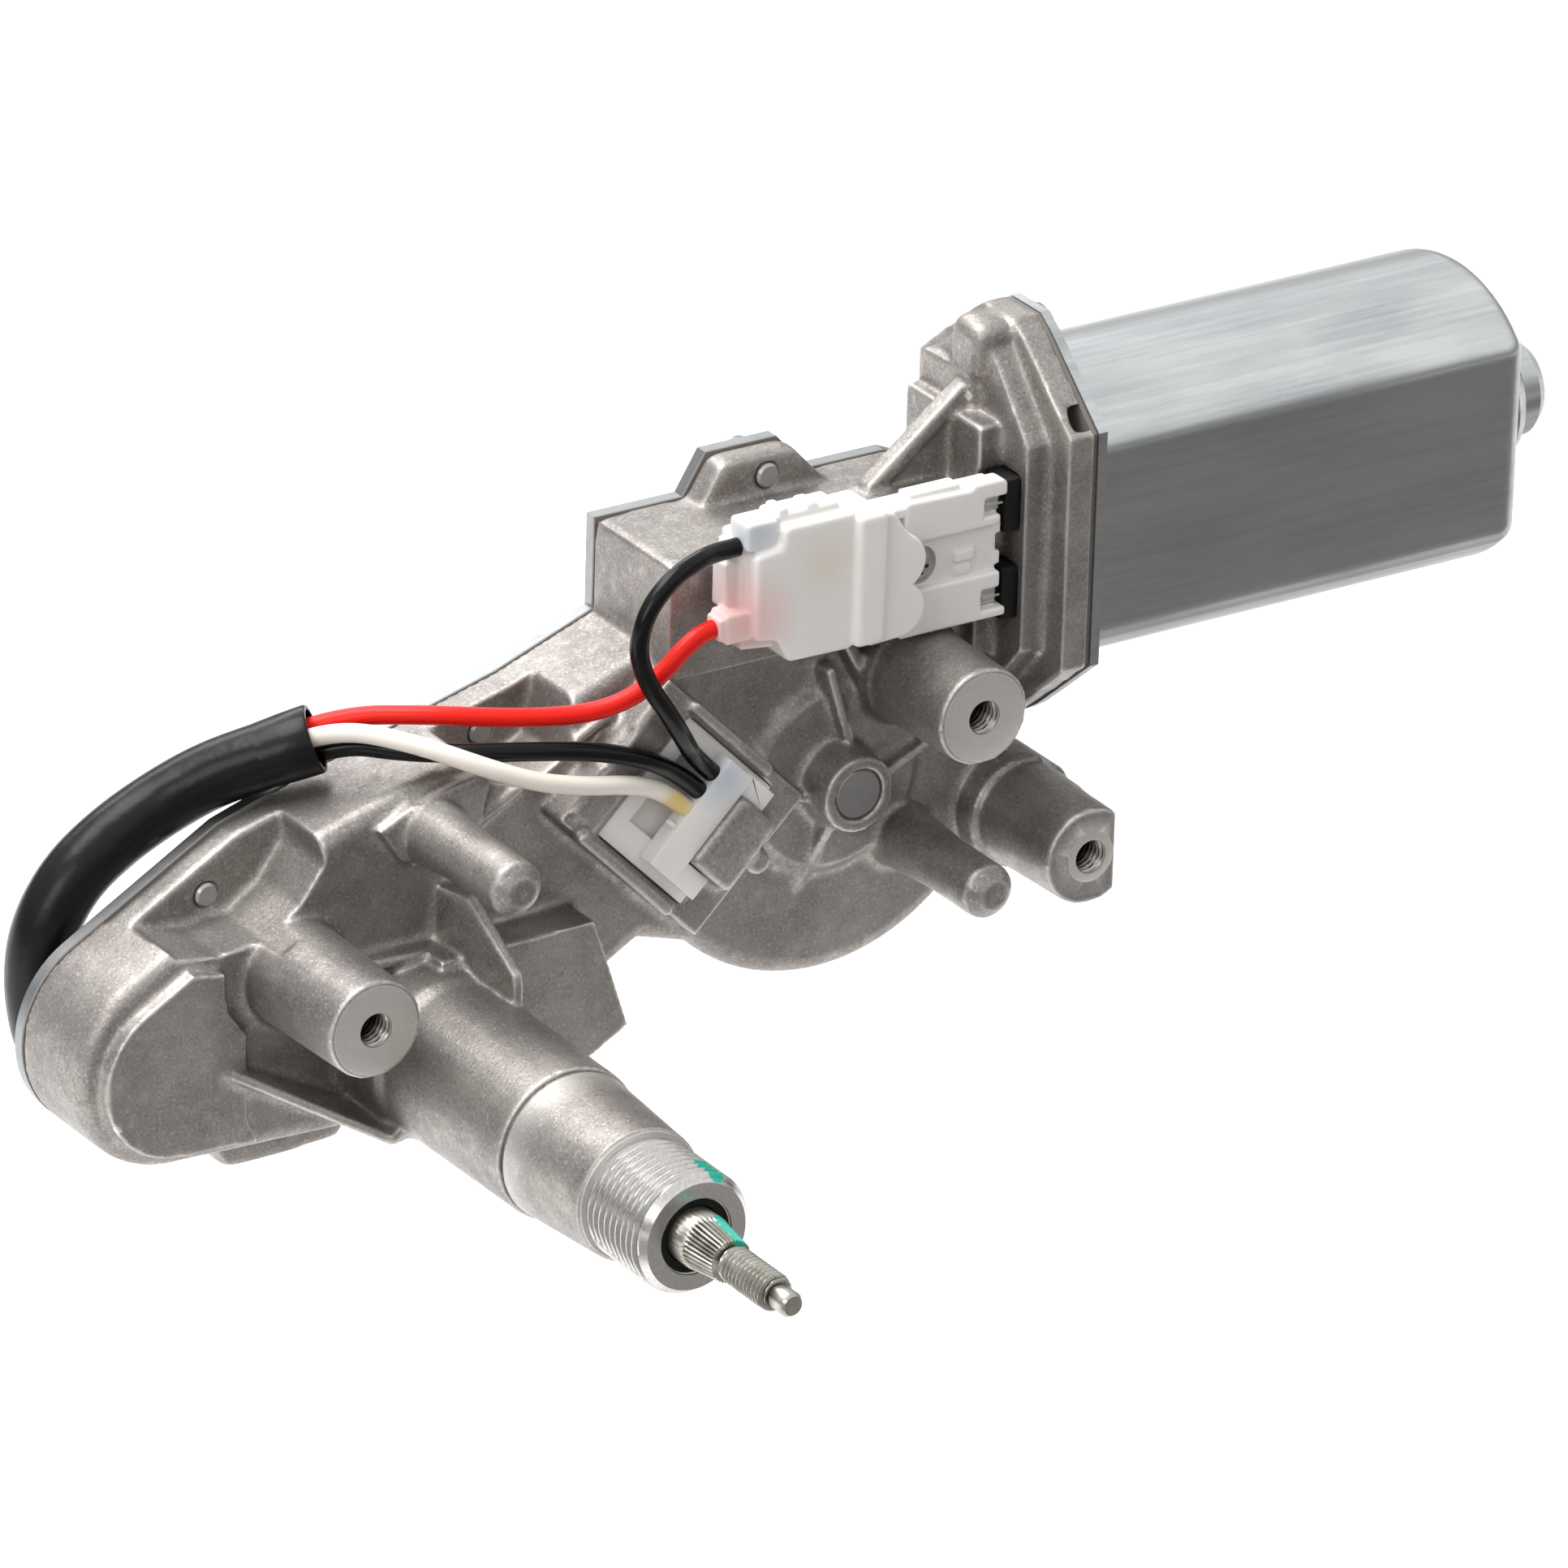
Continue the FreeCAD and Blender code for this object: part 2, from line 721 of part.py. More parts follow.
def flange_outline(inset, middle_y="{motor_y}", middle_z="{motor_z}"):
    """The motor flange, looked at along X: a wide middle with a lug above and below."""
    side = f"({{flange_half_y}} - {inset})"
    shoulder = f"({{flange_half_z}} - {inset} / 2)"
    reach = f"({{lug_reach}} - {inset} / 2)"
    half = f"({{lug_half}} - {inset} / 4)"
    return [
        (f"{middle_y} - {side}", f"{middle_z} - {shoulder}"),
        (f"{middle_y} - {side}", f"{middle_z} + {shoulder}"),
        (f"{middle_y} - {half}", f"{middle_z} + {reach} - {{lug_slope}}"),
        (f"{middle_y} - {half} + {{lug_corner}}", f"{middle_z} + {reach}"),
        (f"{middle_y} + {half} - {{lug_corner}}", f"{middle_z} + {reach}"),
        (f"{middle_y} + {half}", f"{middle_z} + {reach} - {{lug_slope}}"),
        (f"{middle_y} + {side}", f"{middle_z} + {shoulder}"),
        (f"{middle_y} + {side}", f"{middle_z} - {shoulder}"),
        (f"{middle_y} + {half}", f"{middle_z} - {reach} + {{lug_slope}}"),
        (f"{middle_y} + {half} - {{lug_corner}}", f"{middle_z} - {reach}"),
        (f"{middle_y} - {half} + {{lug_corner}}", f"{middle_z} - {reach}"),
        (f"{middle_y} - {half}", f"{middle_z} - {reach} + {{lug_slope}}"),
    ]


def plate_across_x(name, start, thickness, outline, holes=()):
    body = doc.addObject("PartDesign::Body", name)
    sketch = sketch_on(body, f"{name}_outline", "YZ_Plane", start)
    draw(sketch, outline)
    for diameter, y, z in holes:
        draw_circle(sketch, diameter, y, z)
    pad(body, sketch, thickness)
    return body


def prism(name, corners, front, back):
    """A straight block between two depths, with corners (x, z)."""
    body = doc.addObject("PartDesign::Body", name)
    sketch = sketch_on(body, f"{name}_outline", "XZ_Plane", f"-({back})")
    draw(sketch, corners)
    pad(body, sketch, f"({back}) - ({front})")
    return body


def boss(letter):
    x = f"{{boss_{letter}_x}}"
    z = f"{{boss_{letter}_z}}"
    return cone(
        f"boss_{letter}", "{boss_dia}", "{boss_root_dia}", "{front_y} - {boss_face_y} + 2", (x, "{boss_face_y}", z), TO_BACK
    )


def locating_pin(letter, root_y):
    x = f"{{pin_{letter}_x}}"
    z = f"{{pin_{letter}_z}}"
    tip = cone(f"pin_{letter}_tip", "{pin_tip_dia}", "{pin_dia}", "{pin_cone}", (x, "{pin_tip_y}", z), TO_BACK)
    shank_at = (x, "{pin_tip_y} + {pin_cone}", z)
    shank = cylinder(f"pin_{letter}_shank", "{pin_dia}", "{pin_straight}", shank_at, TO_BACK)
    root_at = (x, "{pin_tip_y} + {pin_cone} + {pin_straight}", z)
    root_length = f"{root_y} - {{pin_tip_y}} - {{pin_cone}} - {{pin_straight}}"
    root = cone(f"pin_{letter}_root", "{pin_dia}", "{pin_root_dia}", root_length, root_at, TO_BACK)
    return [tip, shank, root]


def spindle_tube():
    nose_end = "-{nose_length}"
    profile = [
        (nose_end, "0"),
        (nose_end, "{nose_dia} / 2 - {nose_chamfer}"),
        (f"{nose_end} + {{nose_chamfer}}", "{nose_dia} / 2"),
        ("0", "{nose_dia} / 2"),
        ("0", "{tube_front_dia} / 2 - 0.3"),
        ("0.3", "{tube_front_dia} / 2"),
        ("{tube_step_y}", "{tube_mid_dia} / 2"),
        ("{tube_step_y}", "{tube_collar_dia} / 2"),
        ("{front_y} - 12", "{tube_root_dia} / 2 - 0.8"),
        ("{front_y} - 10", "{tube_root_dia} / 2"),
        ("{front_y} + 1.5", "{tube_root_dia} / 2 + 0.4"),
        ("{front_y} + 1.5", "0"),
    ]
    return turned("spindle_tube", "y", profile)


def switch_block(name, low, high, front, back, low_side, high_side):
    """A block of the switch frame, in the switch's own directions: along, depth and across."""
    size = (f"({high}) - ({low})", f"({back}) - ({front})", f"({high_side}) - ({low_side})")
    return box(name, size, (low, front, low_side))


def switch_frame():
    half = "{switch_long} / 2"
    side = "{switch_wide} / 2"
    outer = "{switch_wide} / 2 + {switch_wall}"
    base = switch_block(
        "frame_block", f"-({half}) - {{switch_head}}", f"{half} + {{switch_wall}} + 4",
        "{switch_front_y}", "{front_y} + 1", f"-({outer})", outer,
    )
    well = switch_block("frame_well", f"-({half})", half, "{switch_front_y} - 1", "{switch_floor_y}", f"-({side})", side)
    notch = switch_block(
        "frame_notch", f"-({half}) - {{switch_head}} - 1", f"-({half}) + 1", "{switch_front_y} - 1", "{switch_front_y} + 1.4",
        "{frame_notch_low}", "{frame_notch_high}",
    )
    hollow = cut("frame_hollow", base, [well, notch])
    keeper = switch_block(
        "keeper_block", "{keeper_start}", "{keeper_start} + {keeper_long}", "{switch_plug_front_y}", "{switch_floor_y} + 1",
        "-{keeper_wide} / 2 + 0.6", "{keeper_wide} / 2 + 0.6",
    )
    tail = switch_block(
        "keeper_tail", "{keeper_start} + {keeper_long} - 2.3", "{keeper_start} + {keeper_long} + 1.5",
        "{switch_front_y} - 1.2", "{switch_floor_y} + 1", "-{keeper_wide} / 2 + 0.6", "{keeper_wide} / 2 + 0.6",
    )
    stub = cylinder("keeper_stub", "{keeper_stub_dia}", "{keeper_stub_dia} * 3", ("{keeper_start} + {keeper_long} + 2.8", "{switch_front_y} - 2.6", 1.5), TO_BACK)
    frame = fused("switch_frame", [hollow, keeper, tail, stub])
    return turned_about_y(frame, "{switch_x}", "{switch_z}", 45)


def motor_flange():
    wide = plate_across_x("flange_wide", "{flange_face_x} - {flange_thick}", "{flange_thick}", flange_outline("0"))
    narrow = plate_across_x(
        "flange_narrow", "{flange_face_x} - {flange_thick} - {flange_step}", "{flange_step} + 0.5",
        flange_outline("{flange_step_inset}"),
    )
    lugs = []
    for sign, word in ((1, "upper"), (-1, "lower")):
        lug_at = ("{flange_face_x} - {yoke_boss_length}", "{motor_y}", f"{{motor_z}} + {sign} * {{yoke_screw_reach}}")
        lugs.append(cylinder(f"{word}_screw_boss", "{yoke_boss_dia}", "{yoke_boss_length}", lug_at, ALONG_X))
    neck = box(
        "bearing_neck", ("{neck_long}", "{neck_deep}", "{neck_up} + {neck_down}"),
        ("{flange_face_x} - {neck_long}", "{motor_y} - {neck_front}", "{motor_z} - {neck_down}"),
    )
    heel = box(
        "neck_heel", ("{heel_long}", "{seat_y} - {motor_y} + {heel_front}", "{heel_up}"),
        ("{flange_face_x} - {heel_long}", "{motor_y} - {heel_front}", "{motor_z}"),
    )
    return [wide, narrow, neck, heel] + lugs


def hub_ribs():
    x = value("sizes.wheel_x")
    z = value("sizes.wheel_z")
    front = value("sizes.front_y")
    back = front + 0.8
    return [
        web("hub_rib_up", (x + 1.5, z + 5), (x - 2.7, z + 20), (59.2, 60.0), back, (2.6, 1.5)),
        web("hub_rib_right", (x + 5, z - 1), (x + 16.5, z + 3.2), (59.0, 60.2), back, (2.4, 1.4)),
        web("hub_rib_left", (x - 5, z - 1), (x - 12.6, z + 0.2), (59.0, 60.0), back, (2.4, 1.4)),
        web("hub_rib_down", (x - 2.6, z - 5), (x - 5.4, z - 18), (57.5, 63.6), back, (3.0, 1.4)),
        web("drum_rib", (x + 5, z + 16), (x - 1, z + 27), (61.0, 60.5), back, (3.0, 2.0)),
    ]


def tube_webs():
    front = value("sizes.front_y")
    back = front + 0.8
    root = value("sizes.tube_root_dia") / 2
    return [
        web("lower_web", (-36.5, 3.8), (-12.0, -9.5), (61.4, 50.0), back, (3.2, 1.5)),
        web("lower_web_hook", (-12.0, -9.5), (0.0, -root + 0.6), (50.0, 58.5), back, (2.6, 1.5)),
        web("lower_web_heel", (-12.4, -9.2), (-6.0, -5.0), (50.0, 50.0), back, (2.6, 1.5)),
        web("upper_web", (6.2, 24.5), (6.2, 16.6), (58.0, 44.6), back, (7.0, 1.6)),
        web("upper_web_foot", (6.2, 16.8), (6.2, 7.0), (44.6, 44.0), back, (7.0, 1.6)),
        web("boss_a_ridge", (-14.0, 14.6), (1.0, 14.6), (61.8, 60.4), back, (3.0, 1.6)),
        web("ridge_to_box", (5.0, 31.0), (34.0, 47.0), (62.4, 62.0), back, (2.6, 1.2)),
    ]


def shoulder_block():
    corners = [(0, 15.2), (27.6, 15.6), (34.2, -3.6), (26.0, -8.2), (8, -12.5), (0, -8)]
    return prism("tube_shoulder", corners, "{front_y} - 7.5", "{front_y} + 1")


def pin_ridge():
    corners = [(-8.0, 36.5), (-4.0, 30.5), (2.0, 29.0), (9.5, 32.5), (13.0, 43.0), (-2.0, 39.5)]
    return prism("pin_e_ridge", corners, "{front_y} - 2", "{front_y} + 3")


def lobe_lift():
    """The lobe's face stands a little proud, and ends in an S-shaped ridge beside boss A."""
    corners = [
        ("{lobe_x} - 0.5", "{lobe_z} - {lobe_lift_r} - 0.5"),
        ("arc", "{lobe_lift_r}", "{lobe_x} - 0.5", "{lobe_z} - 0.5", False),
        ("{lobe_x} - 0.5 - {lobe_lift_r} * 0.5", "{lobe_z} - 0.5 + {lobe_lift_r} * 0.866"),
        (-41, 20.5), (-35.5, 19.5), (-34.8, 13), (-31.5, 8.5), (-31, -6), (-29, -10.2),
    ]
    return prism("lobe_lift", corners, "{lobe_front_y}", "{front_y} + 1")


def gear_housing():
    adds = [case_shell(), spindle_tube(), switch_frame()]
    adds += [boss(letter) for letter in "abc"]
    adds += locating_pin("d", "{front_y} + 1")
    adds += locating_pin("e", "{front_y} + 1")
    adds.append(cylinder("pad_b", "{pad_b_dia}", "6", ("{boss_b_x}", "{pad_front_y}", "{boss_b_z}"), TO_BACK))
    adds.append(
        cylinder("pad_c", "{pad_c_dia}", "{seat_y} - {pad_front_y}", ("{boss_c_x}", "{pad_front_y}", "{boss_c_z}"), TO_BACK)
    )
    adds.append(
        cone(
            "hub_boss", "{hub_dia}", "{hub_root_dia}", "{front_y} - {hub_front_y} + 1",
            ("{wheel_x}", "{hub_front_y}", "{wheel_z}"), TO_BACK,
        )
    )
    adds.append(
        cone(
            "hub_disc", "{hub_disc_r} * 2", "{hub_disc_root_r} * 2", "{front_y} - {hub_disc_y} + 0.5",
            ("{wheel_x}", "{hub_disc_y}", "{wheel_z}"), TO_BACK,
        )
    )
    box_corners = [
        ("{box_x}", "{box_front_foot_z}"),
        ("{box_x}", "{box_top_z}"),
        ("{box_corner_x}", "{box_top_z}"),
        ("{case_end_x}", "{case_end_z}"),
        ("{case_end_x}", "{box_front_foot_z}"),
    ]
    adds.append(prism("box_front", box_corners, "{box_front_y}", "{front_y} + 4"))
    top_ear = [
        ("{ear_three_x} - {top_ear_half}", "{box_top_z} - 1"),
        ("{ear_three_x} - {top_ear_half}", "{box_top_z}"),
        ("{ear_three_x} - {top_ear_half} + 4", "{box_top_z} + {top_ear_height}"),
        ("{ear_three_x} + {top_ear_half} - 7", "{box_top_z} + {top_ear_height}"),
        ("{ear_three_x} + {top_ear_half} - 1", "{box_top_z}"),
        ("{ear_three_x} + {top_ear_half} - 1", "{box_top_z} - 1"),
    ]
    adds.append(prism("top_ear", top_ear, "{ear_front_y}", "{seat_y}"))
    low_ear = [
        ("{ear_four_x} - {low_ear_half}", "{belly_z} + 2"),
        ("{ear_four_x} + {low_ear_half}", "{belly_z} + 2"),
        ("{ear_four_x} + {low_ear_half}", "{belly_z}"),
        ("{ear_four_x} + {low_ear_half} - 3", "{ear_four_z} - {low_ear_drop} + 0.6"),
        ("{ear_four_x} - {low_ear_half} + 5", "{ear_four_z} - {low_ear_drop}"),
        ("{ear_four_x} - {low_ear_half}", "{belly_z} + 0.2"),
    ]
    adds.append(prism("low_ear", low_ear, "{low_ear_front_y}", "{seat_y}"))
    adds += motor_flange()
    adds += hub_ribs()
    adds += tube_webs()
    adds += [shoulder_block(), pin_ridge(), lobe_lift()]
    adds.append(web("box_gusset", (104.5, 86.6), (84.0, 70.2), (68.2, 68.2), 71.6, (2.6, 2.6)))
    adds.append(prism("gusset_foot", [(84.0, 69.6), (104.5, 86.0), (104.5, 66.0), (84.0, 66.0)], 69.2, 71.4))
    casting = fused("casting", adds)

    depth = "{seat_y} + 1"
    floor = "({front_y} + {front_wall})"
    cuts = []
    cuts.append(
        cylinder(
            "wheel_well", "({drum_r} - {case_wall}) * 2", f"{depth} - {floor}", ("{wheel_x}", floor, "{wheel_z}"), TO_BACK
        )
    )
    cuts.append(cylinder("pinion_well", "{pinion_well_dia}", f"{depth} - {floor}", (0, floor, 0), TO_BACK))
    gallery_r = f"({CRANK} + {{rack_half}} + {{gallery_gap}})"
    gallery = box(
        "rack_gallery_run", (WHEEL_U - RACK_END_U, f"{depth} - {{gallery_front_y}}", f"{gallery_r} * 2"),
        (RACK_END_U, "{gallery_front_y}", f"{RACK_V} - {gallery_r}"),
    )
    gallery_end = cylinder(
        "rack_gallery_end", f"{gallery_r} * 2", f"{depth} - {{gallery_front_y}}",
        (RACK_END_U, "{gallery_front_y}", RACK_V), TO_BACK,
    )
    cuts.append(turned_about_y(fused("rack_gallery", [gallery, gallery_end]), 0, 0, -math.degrees(RACK_ANGLE)))
    worm_end = "{motor_shaft_start_x} - {thrust_length}"
    cuts.append(
        box(
            "worm_chamber", ("{worm_chamber_long}", "{seat_y} - {worm_chamber_y} + 1", "{worm_chamber_high}"),
            ("{worm_chamber_x}", "{worm_chamber_y}", "{worm_chamber_z}"),
        )
    )
    cuts.append(
        cylinder(
            "worm_bush_bore", "{worm_bush_dia}", f"{{worm_chamber_x}} + 1 - ({worm_end})", (worm_end, "{motor_y}", "{motor_z}"), ALONG_X
        )
    )
    cuts.append(
        cylinder(
            "motor_bush_bore", "{motor_bush_dia}", "{motor_bush_bore_length}",
            ("{flange_face_x} - {motor_bush_bore_length}", "{motor_y}", "{motor_z}"), ALONG_X,
        )
    )
    cuts.append(
        cylinder(
            "card_recess", "{card_recess_dia}", "{card_recess_depth} + 1",
            ("{flange_face_x} - {card_recess_depth}", "{motor_y}", "{motor_z}"), ALONG_X,
        )
    )
    cuts.append(
        cylinder("spindle_bore", "{bush_dia}", "{front_y} + 20 + {nose_length}", (0, "-{nose_length} - 5", 0), TO_BACK)
    )
    cuts.append(
        cylinder(
            "wheel_shaft_bore", "{wheel_shaft_dia}", "{front_y} - {hub_front_y} + 5",
            ("{wheel_x}", "{hub_front_y} - 1", "{wheel_z}"), TO_BACK,
        )
    )
    for letter in "abc":
        place_at = (f"{{boss_{letter}_x}}", "{boss_face_y}", f"{{boss_{letter}_z}}")
        depth_of_hole = f"{{boss_{letter}_hole_depth}}"
        cuts.append(cylinder(f"boss_{letter}_hole", "{boss_hole_dia}", depth_of_hole, place_at, TO_BACK))
    cuts.append(
        box(
            "boss_c_flat", ("{boss_dia} / 2", "{boss_flat_long} + 1", "{boss_dia} * 1.5"),
            ("{boss_c_x} + {boss_flat}", "{boss_face_y} - 1", "{boss_c_z} - {boss_dia} * 0.75"),
        )
    )
    for word in ("one", "two", "three", "four"):
        hole_at = (f"{{ear_{word}_x}}", "{low_ear_front_y} - 1", f"{{ear_{word}_z}}")
        cuts.append(cylinder(f"ear_{word}_hole", "{cover_screw_dia}", "10", hole_at, TO_BACK))
    scoop_one = [(-42.5, 22.3), (-35.0, 21.4), (-27.0, 22.2), (-21.0, 26.4), (-16.5, 32.6), (-18.0, 42.0), (-46.0, 30.0)]
    cuts.append(prism("ear_one_scoop", scoop_one, "{pad_front_y} - 1", "{ear_front_y}"))
    scoop_two = [(9.0, 44.5), (13.5, 38.8), (20.5, 37.4), (26.0, 40.5), (28.5, 51.5), (9.0, 51.5)]
    cuts.append(prism("ear_two_scoop", scoop_two, "{pad_front_y} - 1", "{ear_front_y}"))
    for sign, word in ((1, "upper"), (-1, "lower")):
        hole_at = ("{flange_face_x} - {yoke_screw_length}", "{motor_y}", f"{{motor_z}} + {sign} * {{yoke_screw_reach}}")
        cuts.append(cylinder(f"{word}_yoke_hole", "{yoke_screw_dia}", "{yoke_screw_length} + 3", hole_at, ALONG_X))
        window_at = (
            "{flange_face_x} - {grommet_way}", "{terminal_y} - {grommet_half_y}",
            f"{{motor_z}} + {sign} * {{terminal_spread}} - {{grommet_half_z}}",
        )
        window = ("{grommet_way} + 1", "{grommet_half_y} * 2", "{grommet_half_z} * 2")
        cuts.append(box(f"{word}_grommet_window", window, window_at))
    cuts.append(
        box(
            "cover_relief", ("{relief_step} * 2", "{relief_deep}", "{relief_high}"),
            ("{case_end_x} - {relief_step}", "{seat_y}", "{wheel_z} - {relief_drop}"),
        )
    )
    cuts.append(
        box(
            "cover_relief_top", ("{relief_top_step} + 0.4", "{relief_deep}", "{relief_high}"),
            ("{case_end_x} - {relief_top_step}", "{seat_y}", "{wheel_z}"),
        )
    )
    cuts.append(
        box("boss_c_shy", (20, 40, 30), ("{flange_face_x} - 0.2", "{pad_front_y} - 1", "{boss_c_z} + 6"))
    )
    cuts.append(
        box(
            "flange_slot", ("{flange_slot_wide} + 0.6", "{flange_slot_deep}", "{flange_slot_high}"),
            ("{flange_face_x} - {flange_slot_wide}", "{motor_y} - {flange_half_y} + 1", "{motor_z} + {flange_slot_z}"),
        )
    )
    cuts.append(
        cylinder(
            "feed_screw_hole", "{feed_screw_dia}", "{feed_screw_bite} + 1.6",
            ("{feed_screw_x}", "{box_front_y} - 1", "{motor_z} + 1"), TO_BACK,
        )
    )
    switch_slot = switch_block(
        "switch_slot_block", "{switch_slot_start}", "{switch_long} / 2 - 1", "{switch_floor_y} - 1",
        "{front_y} + {front_wall} + 1", "-{switch_slot_half}", "{switch_slot_half}",
    )
    cuts.append(turned_about_y(group("switch_slot", [switch_slot]), "{switch_x}", "{switch_z}", 45))
    return keep(cut("gear_housing", casting, cuts), "gear_housing")


def cover_pieces():
    screw_holes = [(f"{{ear_{word}_x}}", f"{{ear_{word}_z}}") for word in ("one", "two", "three", "four")]
    for name, start, thickness in (
        ("cover_gasket", "{seat_y}", "{gasket_thick}"),
        ("cover_plate", "{seat_y} + {gasket_thick}", "{cover_thick}"),
    ):
        body = doc.addObject("PartDesign::Body", name)
        sketch = sketch_on(body, f"{name}_plan", "XZ_Plane", f"-({start})")
        draw(sketch, case_outline(True))
        for x, z in screw_holes:
            draw_circle(sketch, "{cover_screw_dia} + 0.4", x, z)
        if name == "cover_gasket":
            draw_circle(sketch, "({drum_r} - {case_wall}) * 2", "{wheel_x}", "{wheel_z}")
            draw_circle(sketch, "{pinion_well_dia}", "0", "0")
        pad(body, sketch, thickness, reverse=True)
        keep(body, name)


def cover_screws():
    screws = []
    for word in ("one", "two", "three", "four"):
        head_y = COVER_BACK_Y
        profile = [
            ("{ear_front_y} - 0.6", "0"),
            ("{ear_front_y} - 0.6", "{cover_screw_dia} / 2 - 0.4"),
            ("{ear_front_y} - 0.2", "{cover_screw_dia} / 2"),
            (head_y, "{cover_screw_dia} / 2"),
            (head_y, "{cover_screw_head_dia} / 2"),
            (f"{head_y} + {{cover_screw_head}} * 0.6", "{cover_screw_head_dia} / 2 - 0.3"),
            (f"{head_y} + {{cover_screw_head}}", "{cover_screw_head_dia} / 2 - 1.3"),
            (f"{head_y} + {{cover_screw_head}}", "0"),
        ]
        blank = turned(f"cover_screw_{word}_blank", "y", profile, (f"{{ear_{word}_x}}", 0, f"{{ear_{word}_z}}"))
        drive = box(
            f"cover_screw_{word}_slot", ("{cover_screw_head_dia} - 3", "{cover_screw_drive}", 0.9),
            (
                f"{{ear_{word}_x}} - {{cover_screw_head_dia}} / 2 + 1.5", f"{head_y} + {{cover_screw_head}} - 1.4",
                f"{{ear_{word}_z}} - 0.45",
            ),
        )
        cross = box(
            f"cover_screw_{word}_cross", (0.9, "{cover_screw_drive}", "{cover_screw_head_dia} - 3"),
            (
                f"{{ear_{word}_x}} - 0.45", f"{head_y} + {{cover_screw_head}} - 1.4",
                f"{{ear_{word}_z}} - {{cover_screw_head_dia}} / 2 + 1.5",
            ),
        )
        screws.append(cut(f"cover_screw_{word}", blank, [drive, cross]))
    keep(group("cover_screws", screws), "cover_screws")


# Motor

def can_section(inset):
    """Two flats joined by round sides, looked at along X."""
    radius = f"({{can_r}} - {inset})"
    flat = f"({{can_half_flat}} - {inset})"
    high = f"sqrt(pow({radius}; 2) - pow({flat}; 2))"
    return [
        (f"{{motor_y}} - {flat}", f"{{motor_z}} - {high}"),
        (f"{{motor_y}} - {flat}", f"{{motor_z}} + {high}"),
        ("arc", radius, "{motor_y}", "{motor_z}", False),
        (f"{{motor_y}} + {flat}", f"{{motor_z}} + {high}"),
        (f"{{motor_y}} + {flat}", f"{{motor_z}} - {high}"),
        ("arc", radius, "{motor_y}", "{motor_z}", False),
    ]


def motor_can():
    body = doc.addObject("PartDesign::Body", "motor_can_cup")
    outside = sketch_on(body, "can_outside", "YZ_Plane", CAN_START_X)
    draw(outside, can_section("0"))
    cup = pad(body, outside, f"{{can_end_x}} - {CAN_START_X}")
    doc.recompute()
    long_edges = [
        f"Edge{index}" for index, edge in enumerate(cup.Shape.Edges, start=1)
        if edge.Curve.TypeId == "Part::GeomLine" and abs(edge.tangentAt(0).x) > 0.999
    ]
    softened = round_edges(body, cup, long_edges, "{can_edge_round}")
    end = flat_face_toward(softened.Shape, Vector(1, 0, 0))
    round_edges(body, softened, [end], "{can_end_round}")
    inside = sketch_on(body, "can_inside", "YZ_Plane", CAN_START_X)
    draw(inside, can_section("{can_wall}"))
    pocket(body, inside, f"{{can_end_x}} - {{can_wall}} - {CAN_START_X}", reverse=True)
    screw_holes = [
        ("{yoke_screw_dia} + 0.4", "{motor_y}", f"{{motor_z}} + {sign} * {{yoke_screw_reach}}") for sign in (1, -1)
    ]
    flange = plate_across_x("can_flange", CAN_START_X, "{can_flange_thick}", flange_outline("0"), screw_holes)
    hole_body = plate_across_x(
        "can_flange_opening", f"{CAN_START_X} - 1", "{can_flange_thick} + 2", can_section("{can_wall}")
    )
    flange_ring = cut("can_flange_ring", flange, [hole_body])
    dome_profile = [
        ("{can_end_x} - 1", "0"),
        ("{can_end_x} - 1", "{dome_base_dia} / 2"),
        ("{can_end_x} + {dome_base_length} - 2.6", "{dome_base_dia} / 2 - 0.3"),
        ("{can_end_x} + {dome_base_length} - 0.6", "{dome_base_dia} / 2 - 1.6"),
        ("{can_end_x} + {dome_base_length}", "{dome_dia} / 2 + 0.6"),
        ("{can_end_x} + {dome_base_length} + 1", "{dome_dia} / 2"),
        ("{can_end_x} + {dome_length} - 2.8", "{dome_dia} / 2 - 0.4"),
        ("{can_end_x} + {dome_length} - 1", "{dome_dia} / 2 - 1.8"),
        ("{can_end_x} + {dome_length}", "{dome_dia} / 2 - 4.4"),
        ("{can_end_x} + {dome_length}", "0"),
    ]
    dome = turned("can_dome", "x", dome_profile, (0, "{motor_y}", "{motor_z}"))
    solid = fused("can_solid", [body, flange_ring, dome])
    bearing_seat = cylinder(
        "can_bearing_seat", "{dome_dia} - 2 * {dome_wall}", "{dome_length}",
        ("{can_end_x} - {dome_wall}", "{motor_y}", "{motor_z}"), ALONG_X,
    )
    keep(cut("motor_can", solid, [bearing_seat]), "motor_can")


def flange_gasket():
    holes = [
        ("{yoke_screw_dia} + 0.4", "{motor_y}", f"{{motor_z}} + {sign} * {{yoke_screw_reach}}") for sign in (1, -1)
    ]
    plate = plate_across_x("gasket_sheet", "{flange_face_x}", "{flange_gasket_thick}", flange_outline("0.6"), holes)
    opening = plate_across_x("gasket_opening", "{flange_face_x} - 1", "{flange_gasket_thick} + 2", can_section("{can_wall}"))
    keep(cut("flange_gasket", plate, [opening]), "flange_gasket")


